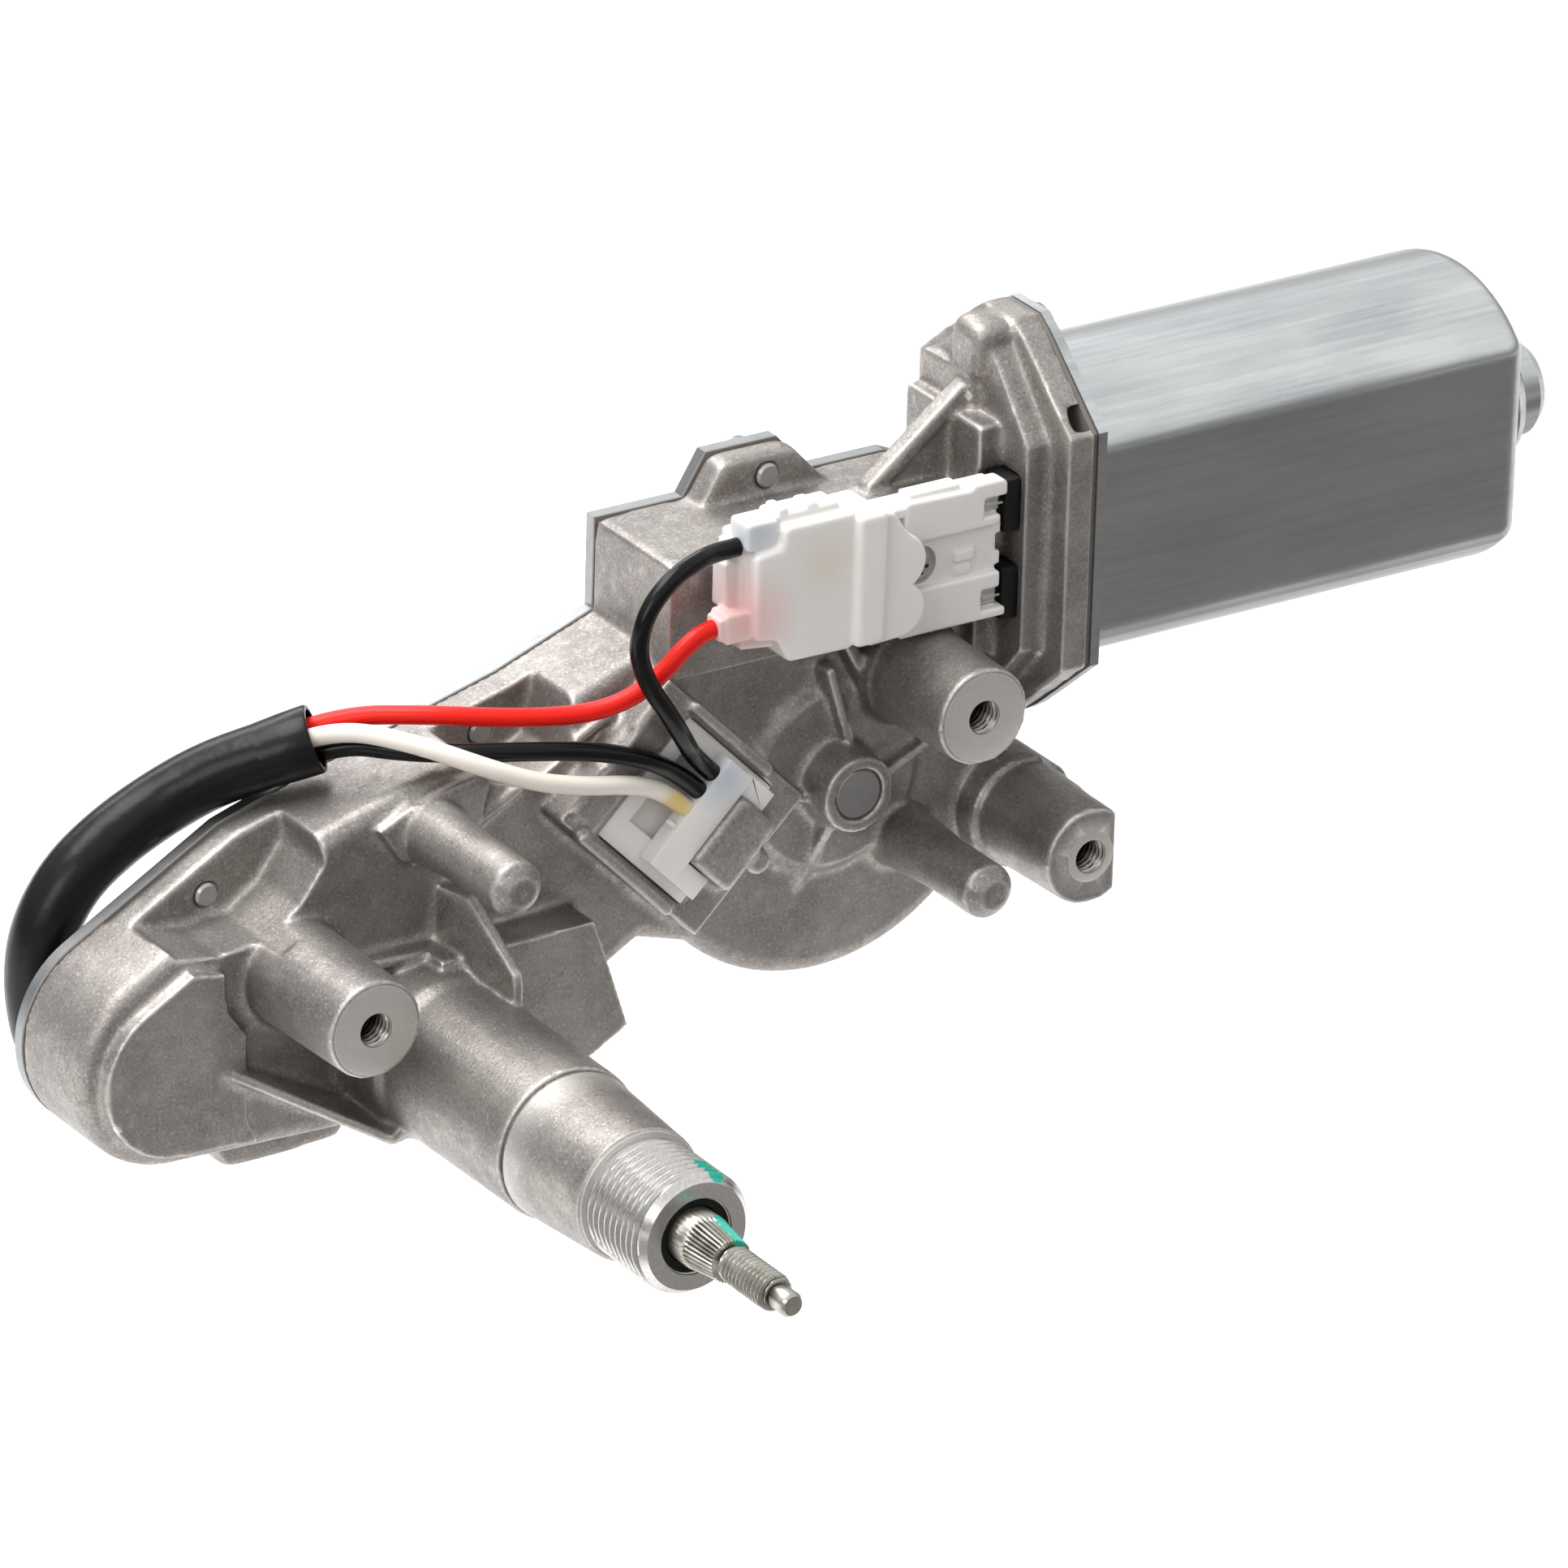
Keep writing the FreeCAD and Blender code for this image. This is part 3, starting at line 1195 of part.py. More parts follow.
def yoke_screws():
    screws = []
    for sign, word in ((1, "upper"), (-1, "lower")):
        seat = f"({CAN_START_X} + {{can_flange_thick}})"
        profile = [
            ("{flange_face_x} - {yoke_screw_length} + 0.2", "0"),
            ("{flange_face_x} - {yoke_screw_length} + 0.2", "{yoke_screw_dia} / 2 - 0.5"),
            ("{flange_face_x} - {yoke_screw_length} + 0.7", "{yoke_screw_dia} / 2"),
            (seat, "{yoke_screw_dia} / 2"),
            (seat, "{yoke_head_dia} / 2"),
            (f"{seat} + {{yoke_head}} * 0.45", "{yoke_head_dia} / 2 - 0.2"),
            (f"{seat} + {{yoke_head}} * 0.8", "{yoke_head_dia} / 2 - 1.3"),
            (f"{seat} + {{yoke_head}}", "{yoke_head_dia} / 2 - 2.5"),
            (f"{seat} + {{yoke_head}}", "0"),
        ]
        z = f"{{motor_z}} + {sign} * {{yoke_screw_reach}}"
        blank = turned(f"yoke_screw_{word}_blank", "x", profile, (0, "{motor_y}", z))
        slots = []
        for index, (deep_y, deep_z) in enumerate(((1.0, 4.4), (4.4, 1.0))):
            slots.append(
                box(
                    f"yoke_screw_{word}_slot_{index}", (2.4, deep_y, deep_z),
                    (f"{seat} + {{yoke_head}} - 1.8", f"{{motor_y}} - {deep_y / 2}", f"{z} - {deep_z / 2}"),
                )
            )
        screws.append(cut(f"yoke_screw_{word}", blank, slots))
    keep(group("yoke_screws", screws), "yoke_screws")


def magnets():
    outer = "({can_r} - {can_wall})"
    inner = "({core_dia} / 2 + {air_gap})"
    for sign, name in ((1, "upper_magnet"), (-1, "lower_magnet")):
        body = doc.addObject("PartDesign::Body", name)
        sketch = sketch_on(body, f"{name}_section", "YZ_Plane", f"{CORE_START_X} - {{magnet_overhang}}")
        swing = "{magnet_half_angle} * 1 deg"
        inner_y = f"{inner} * sin({swing})"
        inner_z = f"{inner} * cos({swing}) * {sign}"
        outer_half = "({can_half_flat} - {can_wall})"
        outer_z = f"sqrt(pow({outer}; 2) - pow({outer_half}; 2)) * {sign}"
        draw(
            sketch,
            [
                (f"-({inner_y})", inner_z),
                ("arc", inner, "0", "0", False),
                (inner_y, inner_z),
                (outer_half, outer_z),
                ("arc", outer, "0", "0", False),
                (f"-{outer_half}", outer_z),
            ],
        )
        pad(body, sketch, "{core_length} + 2 * {magnet_overhang}")
        place(body, (0, "{motor_y}", "{motor_z}"))
        keep(body, name)


def armature():
    worm_root_r = f"({WORM_CENTRES} - {WHEEL_PITCH_R} - {{gear_module}} * 1.25)"
    worm_tip_r = f"({WORM_CENTRES} - {WHEEL_PITCH_R} + {{worm_out}})"
    body = doc.addObject("PartDesign::Body", "worm_shaft")
    sketch = sketch_on(body, "worm_shaft_profile", "XY_Plane")
    lead = "{gear_module} * pi"
    worm_end = f"{{worm_start_x}} + {lead} * {{worm_turns}}"
    draw(
        sketch,
        [
            ("{motor_shaft_start_x}", "0"),
            ("{motor_shaft_start_x}", "{motor_shaft_dia} / 2 - 0.8"),
            ("{motor_shaft_start_x} + 0.8", "{motor_shaft_dia} / 2"),
            ("{worm_start_x} - 1", "{motor_shaft_dia} / 2"),
            ("{worm_start_x}", worm_root_r),
            (f"{worm_end} + 1", worm_root_r),
            (f"{worm_end} + 2", "{motor_shaft_dia} / 2"),
            ("{motor_shaft_end_x} - 0.6", "{motor_shaft_dia} / 2"),
            ("{motor_shaft_end_x}", "{motor_shaft_dia} / 2 - 0.6"),
            ("{motor_shaft_end_x}", "0"),
        ],
    )
    turn = body.newObject("PartDesign::Revolution", "worm_shaft_turn")
    turn.Profile = sketch
    turn.ReferenceAxis = (sketch, ["H_Axis"])
    turn.Angle = 360
    doc.recompute()
    thread = sketch_on(body, "worm_thread_section", "XY_Plane")
    middle = f"({{worm_start_x}} + {lead} / 2)"
    draw(
        thread,
        [
            (f"{middle} - {{worm_thread_root}} / 2", f"{worm_root_r} - 0.2"),
            (f"{middle} - {{worm_thread_tip}} / 2", worm_tip_r),
            (f"{middle} + {{worm_thread_tip}} / 2", worm_tip_r),
            (f"{middle} + {{worm_thread_root}} / 2", f"{worm_root_r} - 0.2"),
        ],
    )
    helix = body.newObject("PartDesign::AdditiveHelix", "worm_thread")
    helix.Profile = thread
    helix.ReferenceAxis = (thread, ["H_Axis"])
    helix.Mode = "pitch-turns-angle"
    bind(helix, "Pitch", lead)
    bind(helix, "Turns", "{worm_turns} - 1")
    helix.LeftHanded = False
    helix.Reversed = False
    doc.recompute()
    place(body, (0, "{motor_y}", "{motor_z}"))
    keep(body, "worm_shaft")

    axis_at = (0, "{motor_y}", "{motor_z}")
    core = doc.addObject("PartDesign::Body", "armature_core")
    section = sketch_on(core, "core_section", "YZ_Plane", CORE_START_X)
    draw_circle(section, "{core_dia}", "0", "0")
    draw_circle(section, "{motor_shaft_dia}", "0", "0")
    pad(core, section, "{core_length}")
    doc.recompute()
    slot = sketch_on(core, "core_slot", "YZ_Plane", CORE_START_X)
    draw(
        slot,
        [
            ("-{slot_width} / 2", "{core_dia} / 2 - {slot_depth}"),
            ("-{slot_width} / 2", "{core_dia} / 2 - 1.2"),
            ("-0.9", "{core_dia} / 2 - 0.8"),
            ("-0.9", "{core_dia} / 2 + 1"),
            ("0.9", "{core_dia} / 2 + 1"),
            ("0.9", "{core_dia} / 2 - 0.8"),
            ("{slot_width} / 2", "{core_dia} / 2 - 1.2"),
            ("{slot_width} / 2", "{core_dia} / 2 - {slot_depth}"),
        ],
    )
    slot_cut = pocket(core, slot, "{core_length}", reverse=True)
    pattern(core, slot_cut, origin_axis(core, "X_Axis"), "{core_slots}")
    place(core, axis_at)
    keep(core, "armature_core")

    coils = doc.addObject("PartDesign::Body", "armature_windings")
    for word, start in (
        ("front", f"{CORE_START_X} - {{end_turn_length}}"),
        ("rear", f"{CORE_START_X} + {{core_length}}"),
    ):
        ends = sketch_on(coils, f"{word}_end_turns", "YZ_Plane", start)
        draw_circle(ends, "{end_turn_dia}", "0", "0")
        draw_circle(ends, "{motor_shaft_dia}", "0", "0")
        if word == "rear":
            filling = sketch_on(coils, "slot_filling", "YZ_Plane", CORE_START_X)
            draw(
                filling,
                [
                    ("-{slot_width} / 2 + 0.15", "{core_dia} / 2 - {slot_depth} + 0.15"),
                    ("-{slot_width} / 2 + 0.15", "{core_dia} / 2 - 1.5"),
                    ("{slot_width} / 2 - 0.15", "{core_dia} / 2 - 1.5"),
                    ("{slot_width} / 2 - 0.15", "{core_dia} / 2 - {slot_depth} + 0.15"),
                ],
            )
            filling_pad = pad(coils, filling, "{core_length}")
            doc.recompute()
            pattern(coils, filling_pad, origin_axis(coils, "X_Axis"), "{core_slots}")
        pad(coils, ends, "{end_turn_length}")
        doc.recompute()
    place(coils, axis_at)
    keep(coils, "armature_windings")

    bars_body = doc.addObject("PartDesign::Body", "commutator")
    barrel = sketch_on(bars_body, "commutator_section", "YZ_Plane", "{commutator_start_x}")
    draw_circle(barrel, "{commutator_dia}", "0", "0")
    draw_circle(barrel, "{motor_shaft_dia}", "0", "0")
    pad(bars_body, barrel, "{commutator_length}")
    doc.recompute()
    gap = sketch_on(bars_body, "commutator_gap", "YZ_Plane", "{commutator_start_x}")
    draw(
        gap,
        [
            ("-0.3", "{commutator_dia} / 2 - 1"),
            ("-0.3", "{commutator_dia} / 2 + 1"),
            ("0.3", "{commutator_dia} / 2 + 1"),
            ("0.3", "{commutator_dia} / 2 - 1"),
        ],
    )
    gap_cut = pocket(bars_body, gap, "{commutator_length}", reverse=True)
    pattern(bars_body, gap_cut, origin_axis(bars_body, "X_Axis"), "{commutator_bars}")
    place(bars_body, axis_at)
    keep(bars_body, "commutator")


def origin_axis(body, role):
    return [axis for axis in body.Origin.OriginFeatures if axis.Role == role][0]


def pattern(body, feature, axis, count):
    copies = body.newObject("PartDesign::PolarPattern", f"{feature.Name}_ring")
    copies.Originals = [feature]
    copies.Axis = (axis, [""])
    copies.Angle = 360
    bind(copies, "Occurrences", count)
    body.Tip = copies
    doc.recompute()
    return copies


def motor_bearings():
    bore = "{motor_shaft_dia} + 2 * {running_gap}"
    start = "{flange_face_x} - 4 - {motor_bush_length}"
    ring("front_bearing", "{motor_bush_dia}", bore, "{motor_bush_length}", (start, "{motor_y}", "{motor_z}"), ALONG_X)
    seat = "{dome_dia} - 2 * {dome_wall}"
    ring(
        "rear_bearing", seat, bore, "{motor_bush_length}",
        ("{motor_shaft_end_x} - {motor_bush_length} - 0.5", "{motor_y}", "{motor_z}"), ALONG_X,
    )
    ring(
        "worm_end_bush", "{worm_bush_dia}", bore, "{worm_bush_length}",
        ("{motor_shaft_start_x} + 1", "{motor_y}", "{motor_z}"), ALONG_X,
    )
    profile = [
        ("{motor_shaft_start_x} - {thrust_length}", "0"),
        ("{motor_shaft_start_x} - {thrust_length}", "{worm_bush_dia} / 2"),
        ("{motor_shaft_start_x} - 0.8", "{worm_bush_dia} / 2"),
        ("{motor_shaft_start_x} - 0.1", "1.6"),
        ("{motor_shaft_start_x} - 0.1", "0"),
    ]
    keep(turned("thrust_button", "x", profile, (0, "{motor_y}", "{motor_z}")), "thrust_button")


def brush_gear():
    card = plate_across_x("card_sheet", "{card_x}", "{card_thick}", can_section("{can_wall}"))
    hole = cylinder("card_hole", "{card_hole_dia}", "{card_thick} + 4", ("{card_x} - 2", "{motor_y}", "{motor_z}"), ALONG_X)
    keep(cut("brush_card", card, [hole]), "brush_card")
    face = "({commutator_dia} / 2 + {brush_gap})"
    brushes = []
    leaves = []
    middle_x = "{commutator_start_x} + {commutator_length} / 2"
    for sign, word in ((-1, "front"), (1, "rear")):
        low = f"{{motor_y}} - {face} - {{brush_long}}" if sign < 0 else f"{{motor_y}} + {face}"
        block = box(
            f"brush_{word}", ("{brush_width}", "{brush_long}", "{brush_high}"),
            (f"{middle_x} - {{brush_width}} / 2", low, "{motor_z} - {brush_high} / 2"),
        )
        barrel = cylinder(
            f"brush_{word}_face", f"{face} * 2", "{brush_width} + 2",
            (f"{middle_x} - {{brush_width}} / 2 - 1", "{motor_y}", "{motor_z}"), ALONG_X,
        )
        brushes.append(cut(f"brush_{word}_cut", block, [barrel]))
        leaf_y = f"{{motor_y}} - {face} - {{brush_long}} - {{leaf_thick}}" if sign < 0 else f"{{motor_y}} + {face} + {{brush_long}}"
        leaves.append(
            box(
                f"leaf_{word}", (f"{middle_x} + {{leaf_past}} - {{card_x}} - {{card_thick}}", "{leaf_thick}", "{leaf_high}"),
                ("{card_x} + {card_thick}", leaf_y, "{motor_z} - {leaf_high} / 2"),
            )
        )
    keep(group("carbon_brushes", brushes), "carbon_brushes")
    keep(group("brush_leaf_springs", leaves), "brush_leaf_springs")
    blades = []
    blocks = []
    for sign, word in ((1, "upper"), (-1, "lower")):
        z = f"{{motor_z}} + {sign} * {{terminal_spread}}"
        blades.append(
            box(
                f"blade_{word}", ("{card_x} - {terminal_start_x}", "{terminal_thick}", "{terminal_width}"),
                ("{terminal_start_x}", "{terminal_y} - {terminal_thick} / 2", f"{z} - {{terminal_width}} / 2"),
            )
        )
        block = box(
            f"grommet_{word}_block",
            ("{flange_face_x} - ({feed_base_end_x} + {grommet_gap})", "{grommet_half_y} * 2", "{grommet_half_z} * 2"),
            ("({feed_base_end_x} + {grommet_gap})", "{terminal_y} - {grommet_half_y}", f"{z} - {{grommet_half_z}}"),
        )
        slit = box(
            f"grommet_{word}_slit", ("{flange_face_x} - ({feed_base_end_x} + {grommet_gap}) + 2", "{terminal_thick}", "{terminal_width}"),
            ("({feed_base_end_x} + {grommet_gap}) - 1", "{terminal_y} - {terminal_thick} / 2", f"{z} - {{terminal_width}} / 2"),
        )
        blocks.append(cut(f"grommet_{word}", block, [slit]))
    keep(group("brush_terminals", blades), "brush_terminals")
    keep(group("terminal_grommets", blocks), "terminal_grommets")


# Feed connector: a screwed base that takes the two blades, and the plug of the two wires.

def feed_connector():
    low = "{feed_base_low_z}"
    tall = "{feed_base_high_z} - {feed_base_low_z}"
    front = "{feed_base_front_y}"
    deep = "{box_front_y} - {feed_base_front_y}"
    slab = box("feed_base_slab", ("{feed_base_end_x} - {feed_base_x}", deep, tall), ("{feed_base_x}", front, low))
    arms = []
    for sign, word in ((1, "upper"), (-1, "lower")):
        z = f"{{motor_z}} + {sign} * {{terminal_spread}}"
        arms.append(
            box(
                f"feed_slot_{word}",
                (
                    "{feed_slot_deep} + 0.5", "{terminal_thick} + 2 * {feed_slot_gap}",
                    "{terminal_width} + 2 * {feed_slot_gap}",
                ),
                (
                    "{feed_base_end_x} - {feed_slot_deep}", "{terminal_y} - {terminal_thick} / 2 - {feed_slot_gap}",
                    f"{z} - {{terminal_width}} / 2 - {{feed_slot_gap}}",
                ),
            )
        )
        arms.append(
            box(
                f"feed_window_{word}", ("{feed_window_long}", "{feed_window}", "{feed_window}"),
                (
                    "{feed_base_end_x} - {feed_window_long}", f"{front} - 0.1",
                    f"{z} - {{feed_window}} / 2 + {sign} * {{feed_window_off}}",
                ),
            )
        )
    screw_z = "{motor_z} + 1"
    way_at = ("{feed_screw_x}", f"{front} - 1", screw_z)
    arms.append(cylinder("feed_screw_way", "{feed_screw_dia}", f"{deep} + 2", way_at, TO_BACK))
    arms.append(cylinder("feed_screw_seat", "{feed_screw_head_dia} + 1", "{feed_screw_sink} + 1", way_at, TO_BACK))
    arms.append(
        box(
            "feed_latch_window", ("{feed_latch_long}", "{feed_latch_deep} + 0.1", "{feed_latch_high}"),
            ("{feed_base_end_x} - {feed_latch_x}", f"{front} - 0.1", f"{screw_z} + 1"),
        )
    )
    arms.append(
        box(
            "feed_end_notch", ("{feed_notch_long} + 0.2", "{feed_notch_deep} + 0.5", "{feed_notch_high}"),
            ("{feed_base_end_x} - {feed_notch_long}", f"{front} - 0.5", f"{screw_z} - {{feed_notch_high}} / 2 - 0.5"),
        )
    )
    keep(cut("feed_connector_base", slab, arms), "feed_connector_base")

    profile = [
        (f"{front} + 0.3", "0"),
        (f"{front} + 0.3", "{feed_screw_head_dia} / 2 - 1.4"),
        (f"{front} + 0.9", "{feed_screw_head_dia} / 2 - 0.5"),
        (f"{front} + {{feed_screw_sink}}", "{feed_screw_head_dia} / 2"),
        (f"{front} + {{feed_screw_sink}}", "{feed_screw_dia} / 2"),
        ("{box_front_y} + {feed_screw_bite} - 0.8", "{feed_screw_dia} / 2"),
        ("{box_front_y} + {feed_screw_bite}", "{feed_screw_dia} / 2 - 0.8"),
        ("{box_front_y} + {feed_screw_bite}", "0"),
    ]
    blank = turned("feed_screw_blank", "y", profile, ("{feed_screw_x}", 0, screw_z))
    slots = [
        box("feed_screw_slot", (3.6, 1.3, 0.8), ("{feed_screw_x} - 1.8", f"{front} + 0.2", f"{screw_z} - 0.4")),
        box("feed_screw_cross", (0.8, 1.3, 3.6), ("{feed_screw_x} - 0.4", f"{front} + 0.2", f"{screw_z} - 1.8")),
    ]
    keep(cut("connector_screw", blank, slots), "connector_screw")

    plug_low = "{feed_plug_low_z}"
    plug_tall = "{feed_plug_high_z} - {feed_plug_low_z}"
    shell = box(
        "feed_plug_shell", ("{feed_base_x} - 0.2 - {feed_plug_x}", "{box_front_y} - 0.3 - {feed_plug_front_y}", plug_tall),
        ("{feed_plug_x}", "{feed_plug_front_y}", plug_low),
    )
    flap = box(
        "feed_plug_flap",
        (
            "{feed_flap_x} - {feed_base_x} + 1",
            "{feed_base_front_y} - 0.1 - {feed_plug_front_y} - {feed_flap_drop}",
            f"{plug_tall} - {{feed_flap_short}}",
        ),
        ("{feed_base_x} - 1", "{feed_plug_front_y} + {feed_flap_drop}", f"{plug_low} + {{feed_flap_short}} / 3"),
    )
    ridge = box(
        "feed_plug_ridge", ("{feed_ridge_long}", "{feed_ridge_out} + 0.4", plug_tall),
        ("{feed_base_x} - {feed_ridge_x}", "{feed_plug_front_y} - {feed_ridge_out}", plug_low),
    )
    ports = [
        box(
            "black_port_block", ("{feed_port_long} + 2.5", "{black_port}", "{black_port}"),
            ("{feed_plug_x} - {feed_port_long}", "{black_port_y}", "{feed_plug_high_z} - {black_port}"),
        ),
        box(
            "red_port_block", ("{feed_port_long} + 3.5", "{red_port_deep}", "{red_port_high}"),
            ("{feed_plug_x} - {feed_port_long} - 0.5", "{red_port_y}", "{red_port_z}"),
        ),
    ]
    plug_solid = fused("feed_plug_solid", [shell, flap, ridge] + ports)
    corner = box(
        "feed_plug_corner", ("{feed_corner_x} + 0.1", "{feed_corner_y} + 1", "{feed_corner_z} + 0.1"),
        ("{feed_plug_x} - 0.1", "{feed_plug_front_y} - 1", f"{plug_low} - 0.1"),
    )
    keep(cut("feed_connector_plug", plug_solid, [corner]), "feed_connector_plug")


# Park switch: an insulating base in the case, three fingers and a three-way plug.

def park_switch():
    half = "({switch_long} / 2 - 0.1)"
    side = "({switch_wide} / 2 - 0.1)"
    base = switch_block("switch_base_slab", f"-{half}", half, "{switch_front_y}", "{switch_floor_y}", f"-{side}", side)
    hollow = switch_block(
        "switch_base_hollow", "{base_hollow_start}", "{base_hollow_end}", "{switch_front_y} - 1",
        "{switch_front_y} + 1.6", "-{base_hollow_half}", "{base_hollow_half}",
    )
    seat = switch_block(
        "switch_base_seat", "{keeper_start} - 0.2", f"{half} + 1", "{switch_front_y} - 1", "{switch_floor_y} + 1",
        "-{keeper_wide} / 2 + 0.4", "{keeper_wide} / 2 + 0.8",
    )
    body = cut("switch_base_cut", base, [hollow, seat])
    keep(turned_about_y(body, "{switch_x}", "{switch_z}", 45), "switch_base")

    bar_start = "({keeper_start} - 0.1 - {switch_plug_bar})"
    arm_end = "{keeper_start} + {switch_plug_arm}"
    bar = switch_block(
        "switch_plug_bar_block", bar_start, "{keeper_start} - 0.1", "{switch_plug_front_y}", "{switch_front_y} - 0.02",
        "-{switch_plug_wide} / 2 + 0.1", "{switch_plug_wide} / 2 + 0.3",
    )
    low_arm = switch_block(
        "switch_plug_low_arm", "{keeper_start} - 0.5", arm_end, "{switch_plug_front_y} + 0.6", "{switch_front_y} - 0.02",
        "-{switch_plug_wide} / 2 + 0.1", "-{keeper_wide} / 2 + 0.4",
    )
    high_arm = switch_block(
        "switch_plug_high_arm", "{keeper_start} - 0.5", arm_end, "{switch_plug_front_y} + 0.6", "{switch_front_y} - 0.02",
        "{keeper_wide} / 2 + 0.8", "{switch_plug_wide} / 2 + 0.6",
    )
    plug = fused("switch_plug", [bar, low_arm, high_arm])
    keep(turned_about_y(plug, "{switch_x}", "{switch_z}", 45), "switch_plug")

    fingers = []
    plate_y = "({wheel_front_y} - {contact_plate_thick})"
    for index in range(3):
        across = f"({{finger_first}} + {{finger_pitch}} * {index})"
        root = switch_block(
            f"finger_{index}_root", "{finger_root_start}", "{finger_root_end}", "{switch_floor_y}", f"{plate_y} - 0.4 - {{finger_thick}}",
            f"{across} - {{finger_width}} / 2", f"{across} + {{finger_width}} / 2",
        )
        leaf = switch_block(
            f"finger_{index}_leaf", "{finger_root_start}", "{finger_end}", f"{plate_y} - 0.45 - {{finger_thick}}", f"{plate_y} - 0.45",
            f"{across} - {{finger_width}} / 2", f"{across} + {{finger_width}} / 2",
        )
        tip = switch_block(
            f"finger_{index}_tip", "{finger_tip_start}", "{finger_end}", f"{plate_y} - 0.5", f"{plate_y} - 0.1",
            f"{across} - {{finger_width}} / 2", f"{across} + {{finger_width}} / 2",
        )
        fingers.append(turned_about_y(fused(f"finger_{index}", [root, leaf, tip]), "{switch_x}", "{switch_z}", 45))
    keep(group("switch_fingers", fingers), "switch_fingers")


# Worm wheel, its contact plate and crank pin.

def worm_wheel():
    tip_r = f"{WHEEL_PITCH_R} + {{wheel_tooth_out}}"
    root_r = f"{WHEEL_PITCH_R} - {{wheel_tooth_in}}"
    rear = "{wheel_front_y} + {wheel_face}"
    bore_r = "{wheel_shaft_dia} / 2 + {running_gap}"
    web_y = "{wheel_front_y} + {wheel_web}"
    profile = [
        ("{wheel_front_y}", bore_r),
        ("{wheel_front_y}", root_r),
        (rear, root_r),
        (rear, f"{root_r} - {{wheel_rim}}"),
        (web_y, f"{root_r} - {{wheel_rim}} - 0.6"),
        (web_y, "{wheel_hub_dia} / 2"),
        ("{wheel_hub_rear_y}", "{wheel_hub_dia} / 2 - 0.4"),
        ("{wheel_hub_rear_y}", bore_r),
    ]
    body = turned("worm_wheel", "y", profile)
    doc.recompute()
    tooth = sketch_on(body, "wheel_tooth", "XZ_Plane", f"-({rear})")
    draw(
        tooth,
        [
            ("-{wheel_tooth_root} / 2", f"{root_r} - 0.3"),
            ("-{wheel_tooth_tip} / 2", tip_r),
            ("{wheel_tooth_tip} / 2", tip_r),
            ("{wheel_tooth_root} / 2", f"{root_r} - 0.3"),
        ],
    )
    tooth_pad = pad(body, tooth, "{wheel_face}")
    doc.recompute()
    pattern(body, tooth_pad, origin_axis(body, "Y_Axis"), "{wheel_teeth}")
    place(body, ("{wheel_x}", 0, "{wheel_z}"))
    deep = "{wheel_hub_rear_y} - {wheel_front_y} + 2"
    seat = cylinder("crank_pin_seat", "{crank_pin_dia}", deep, (CRANK_X, "{wheel_front_y} + 0.6", CRANK_Z), TO_BACK)
    boss_round = cylinder(
        "crank_boss", "{crank_pin_dia} + 2 * {crank_boss_wall}", "{wheel_hub_rear_y} - {crank_boss_y}",
        (CRANK_X, "{crank_boss_y}", CRANK_Z), TO_BACK,
    )
    dished = ring_tool(
        "contact_seat", "{contact_plate_r} * 2", "{contact_plate_bore}", "{contact_plate_thick}",
        ("{wheel_x}", "{wheel_front_y} - 0.1", "{wheel_z}"),
    )
    solid = fused("wheel_solid", [body, boss_round])
    bore = cylinder(
        "wheel_bore", f"({bore_r}) * 2", f"{deep} + 1", ("{wheel_x}", "{wheel_front_y} - 1", "{wheel_z}"), TO_BACK
    )
    keep(cut("worm_wheel_cut", solid, [seat, dished, bore]), "worm_wheel")

    plate = ring_tool(
        "contact_plate_ring", "{contact_plate_r} * 2", "{contact_plate_bore}", "{contact_plate_thick}",
        ("{wheel_x}", "{wheel_front_y} - 0.1", "{wheel_z}"),
    )
    park_gap = box(
        "contact_plate_gap", ("{park_gap_long}", "{contact_plate_thick} + 2.6", "{park_gap_high} + 1"),
        ("{wheel_x} - {park_gap_long} / 2", "{wheel_front_y} - 1", "{wheel_z} - {contact_plate_r} - 1"),
    )
    keep(cut("contact_plate", plate, [park_gap]), "contact_plate")
    pin_profile = [
        ("{wheel_front_y} + 0.6", "0"),
        ("{wheel_front_y} + 0.6", "{crank_pin_dia} / 2"),
        ("{rack_y} - {open_pivot_gap} - 0.4", "{crank_pin_dia} / 2"),
        ("{rack_y} - {open_pivot_gap}", "{crank_pin_dia} / 2 - 0.4"),
        ("{rack_y} - {open_pivot_gap}", "0"),
    ]
    keep(turned("crank_pin", "y", pin_profile, (CRANK_X, 0, CRANK_Z)), "crank_pin")
    shaft_profile = [
        ("{hub_front_y} + 0.4", "0"),
        ("{hub_front_y} + 0.4", "{wheel_shaft_dia} / 2 - 0.4"),
        ("{hub_front_y} + 0.8", "{wheel_shaft_dia} / 2"),
        ("{wheel_shaft_rear_y} - 0.9", "{wheel_shaft_dia} / 2"),
        ("{wheel_shaft_rear_y} - 0.9", "{wheel_shaft_dia} / 2 - 0.6"),
        ("{wheel_shaft_rear_y} - 0.35", "{wheel_shaft_dia} / 2 - 0.6"),
        ("{wheel_shaft_rear_y} - 0.35", "{wheel_shaft_dia} / 2"),
        ("{wheel_shaft_rear_y}", "{wheel_shaft_dia} / 2 - 0.3"),
        ("{wheel_shaft_rear_y}", "0"),
    ]
    keep(turned("wheel_shaft", "y", shaft_profile, ("{wheel_x}", 0, "{wheel_z}")), "wheel_shaft")
    ring(
        "wheel_clip", "{clip_dia}", "{wheel_shaft_dia} - 1.2", "{clip_thick}",
        ("{wheel_x}", "{wheel_shaft_rear_y} - 0.87", "{wheel_z}"), TO_BACK,
    )


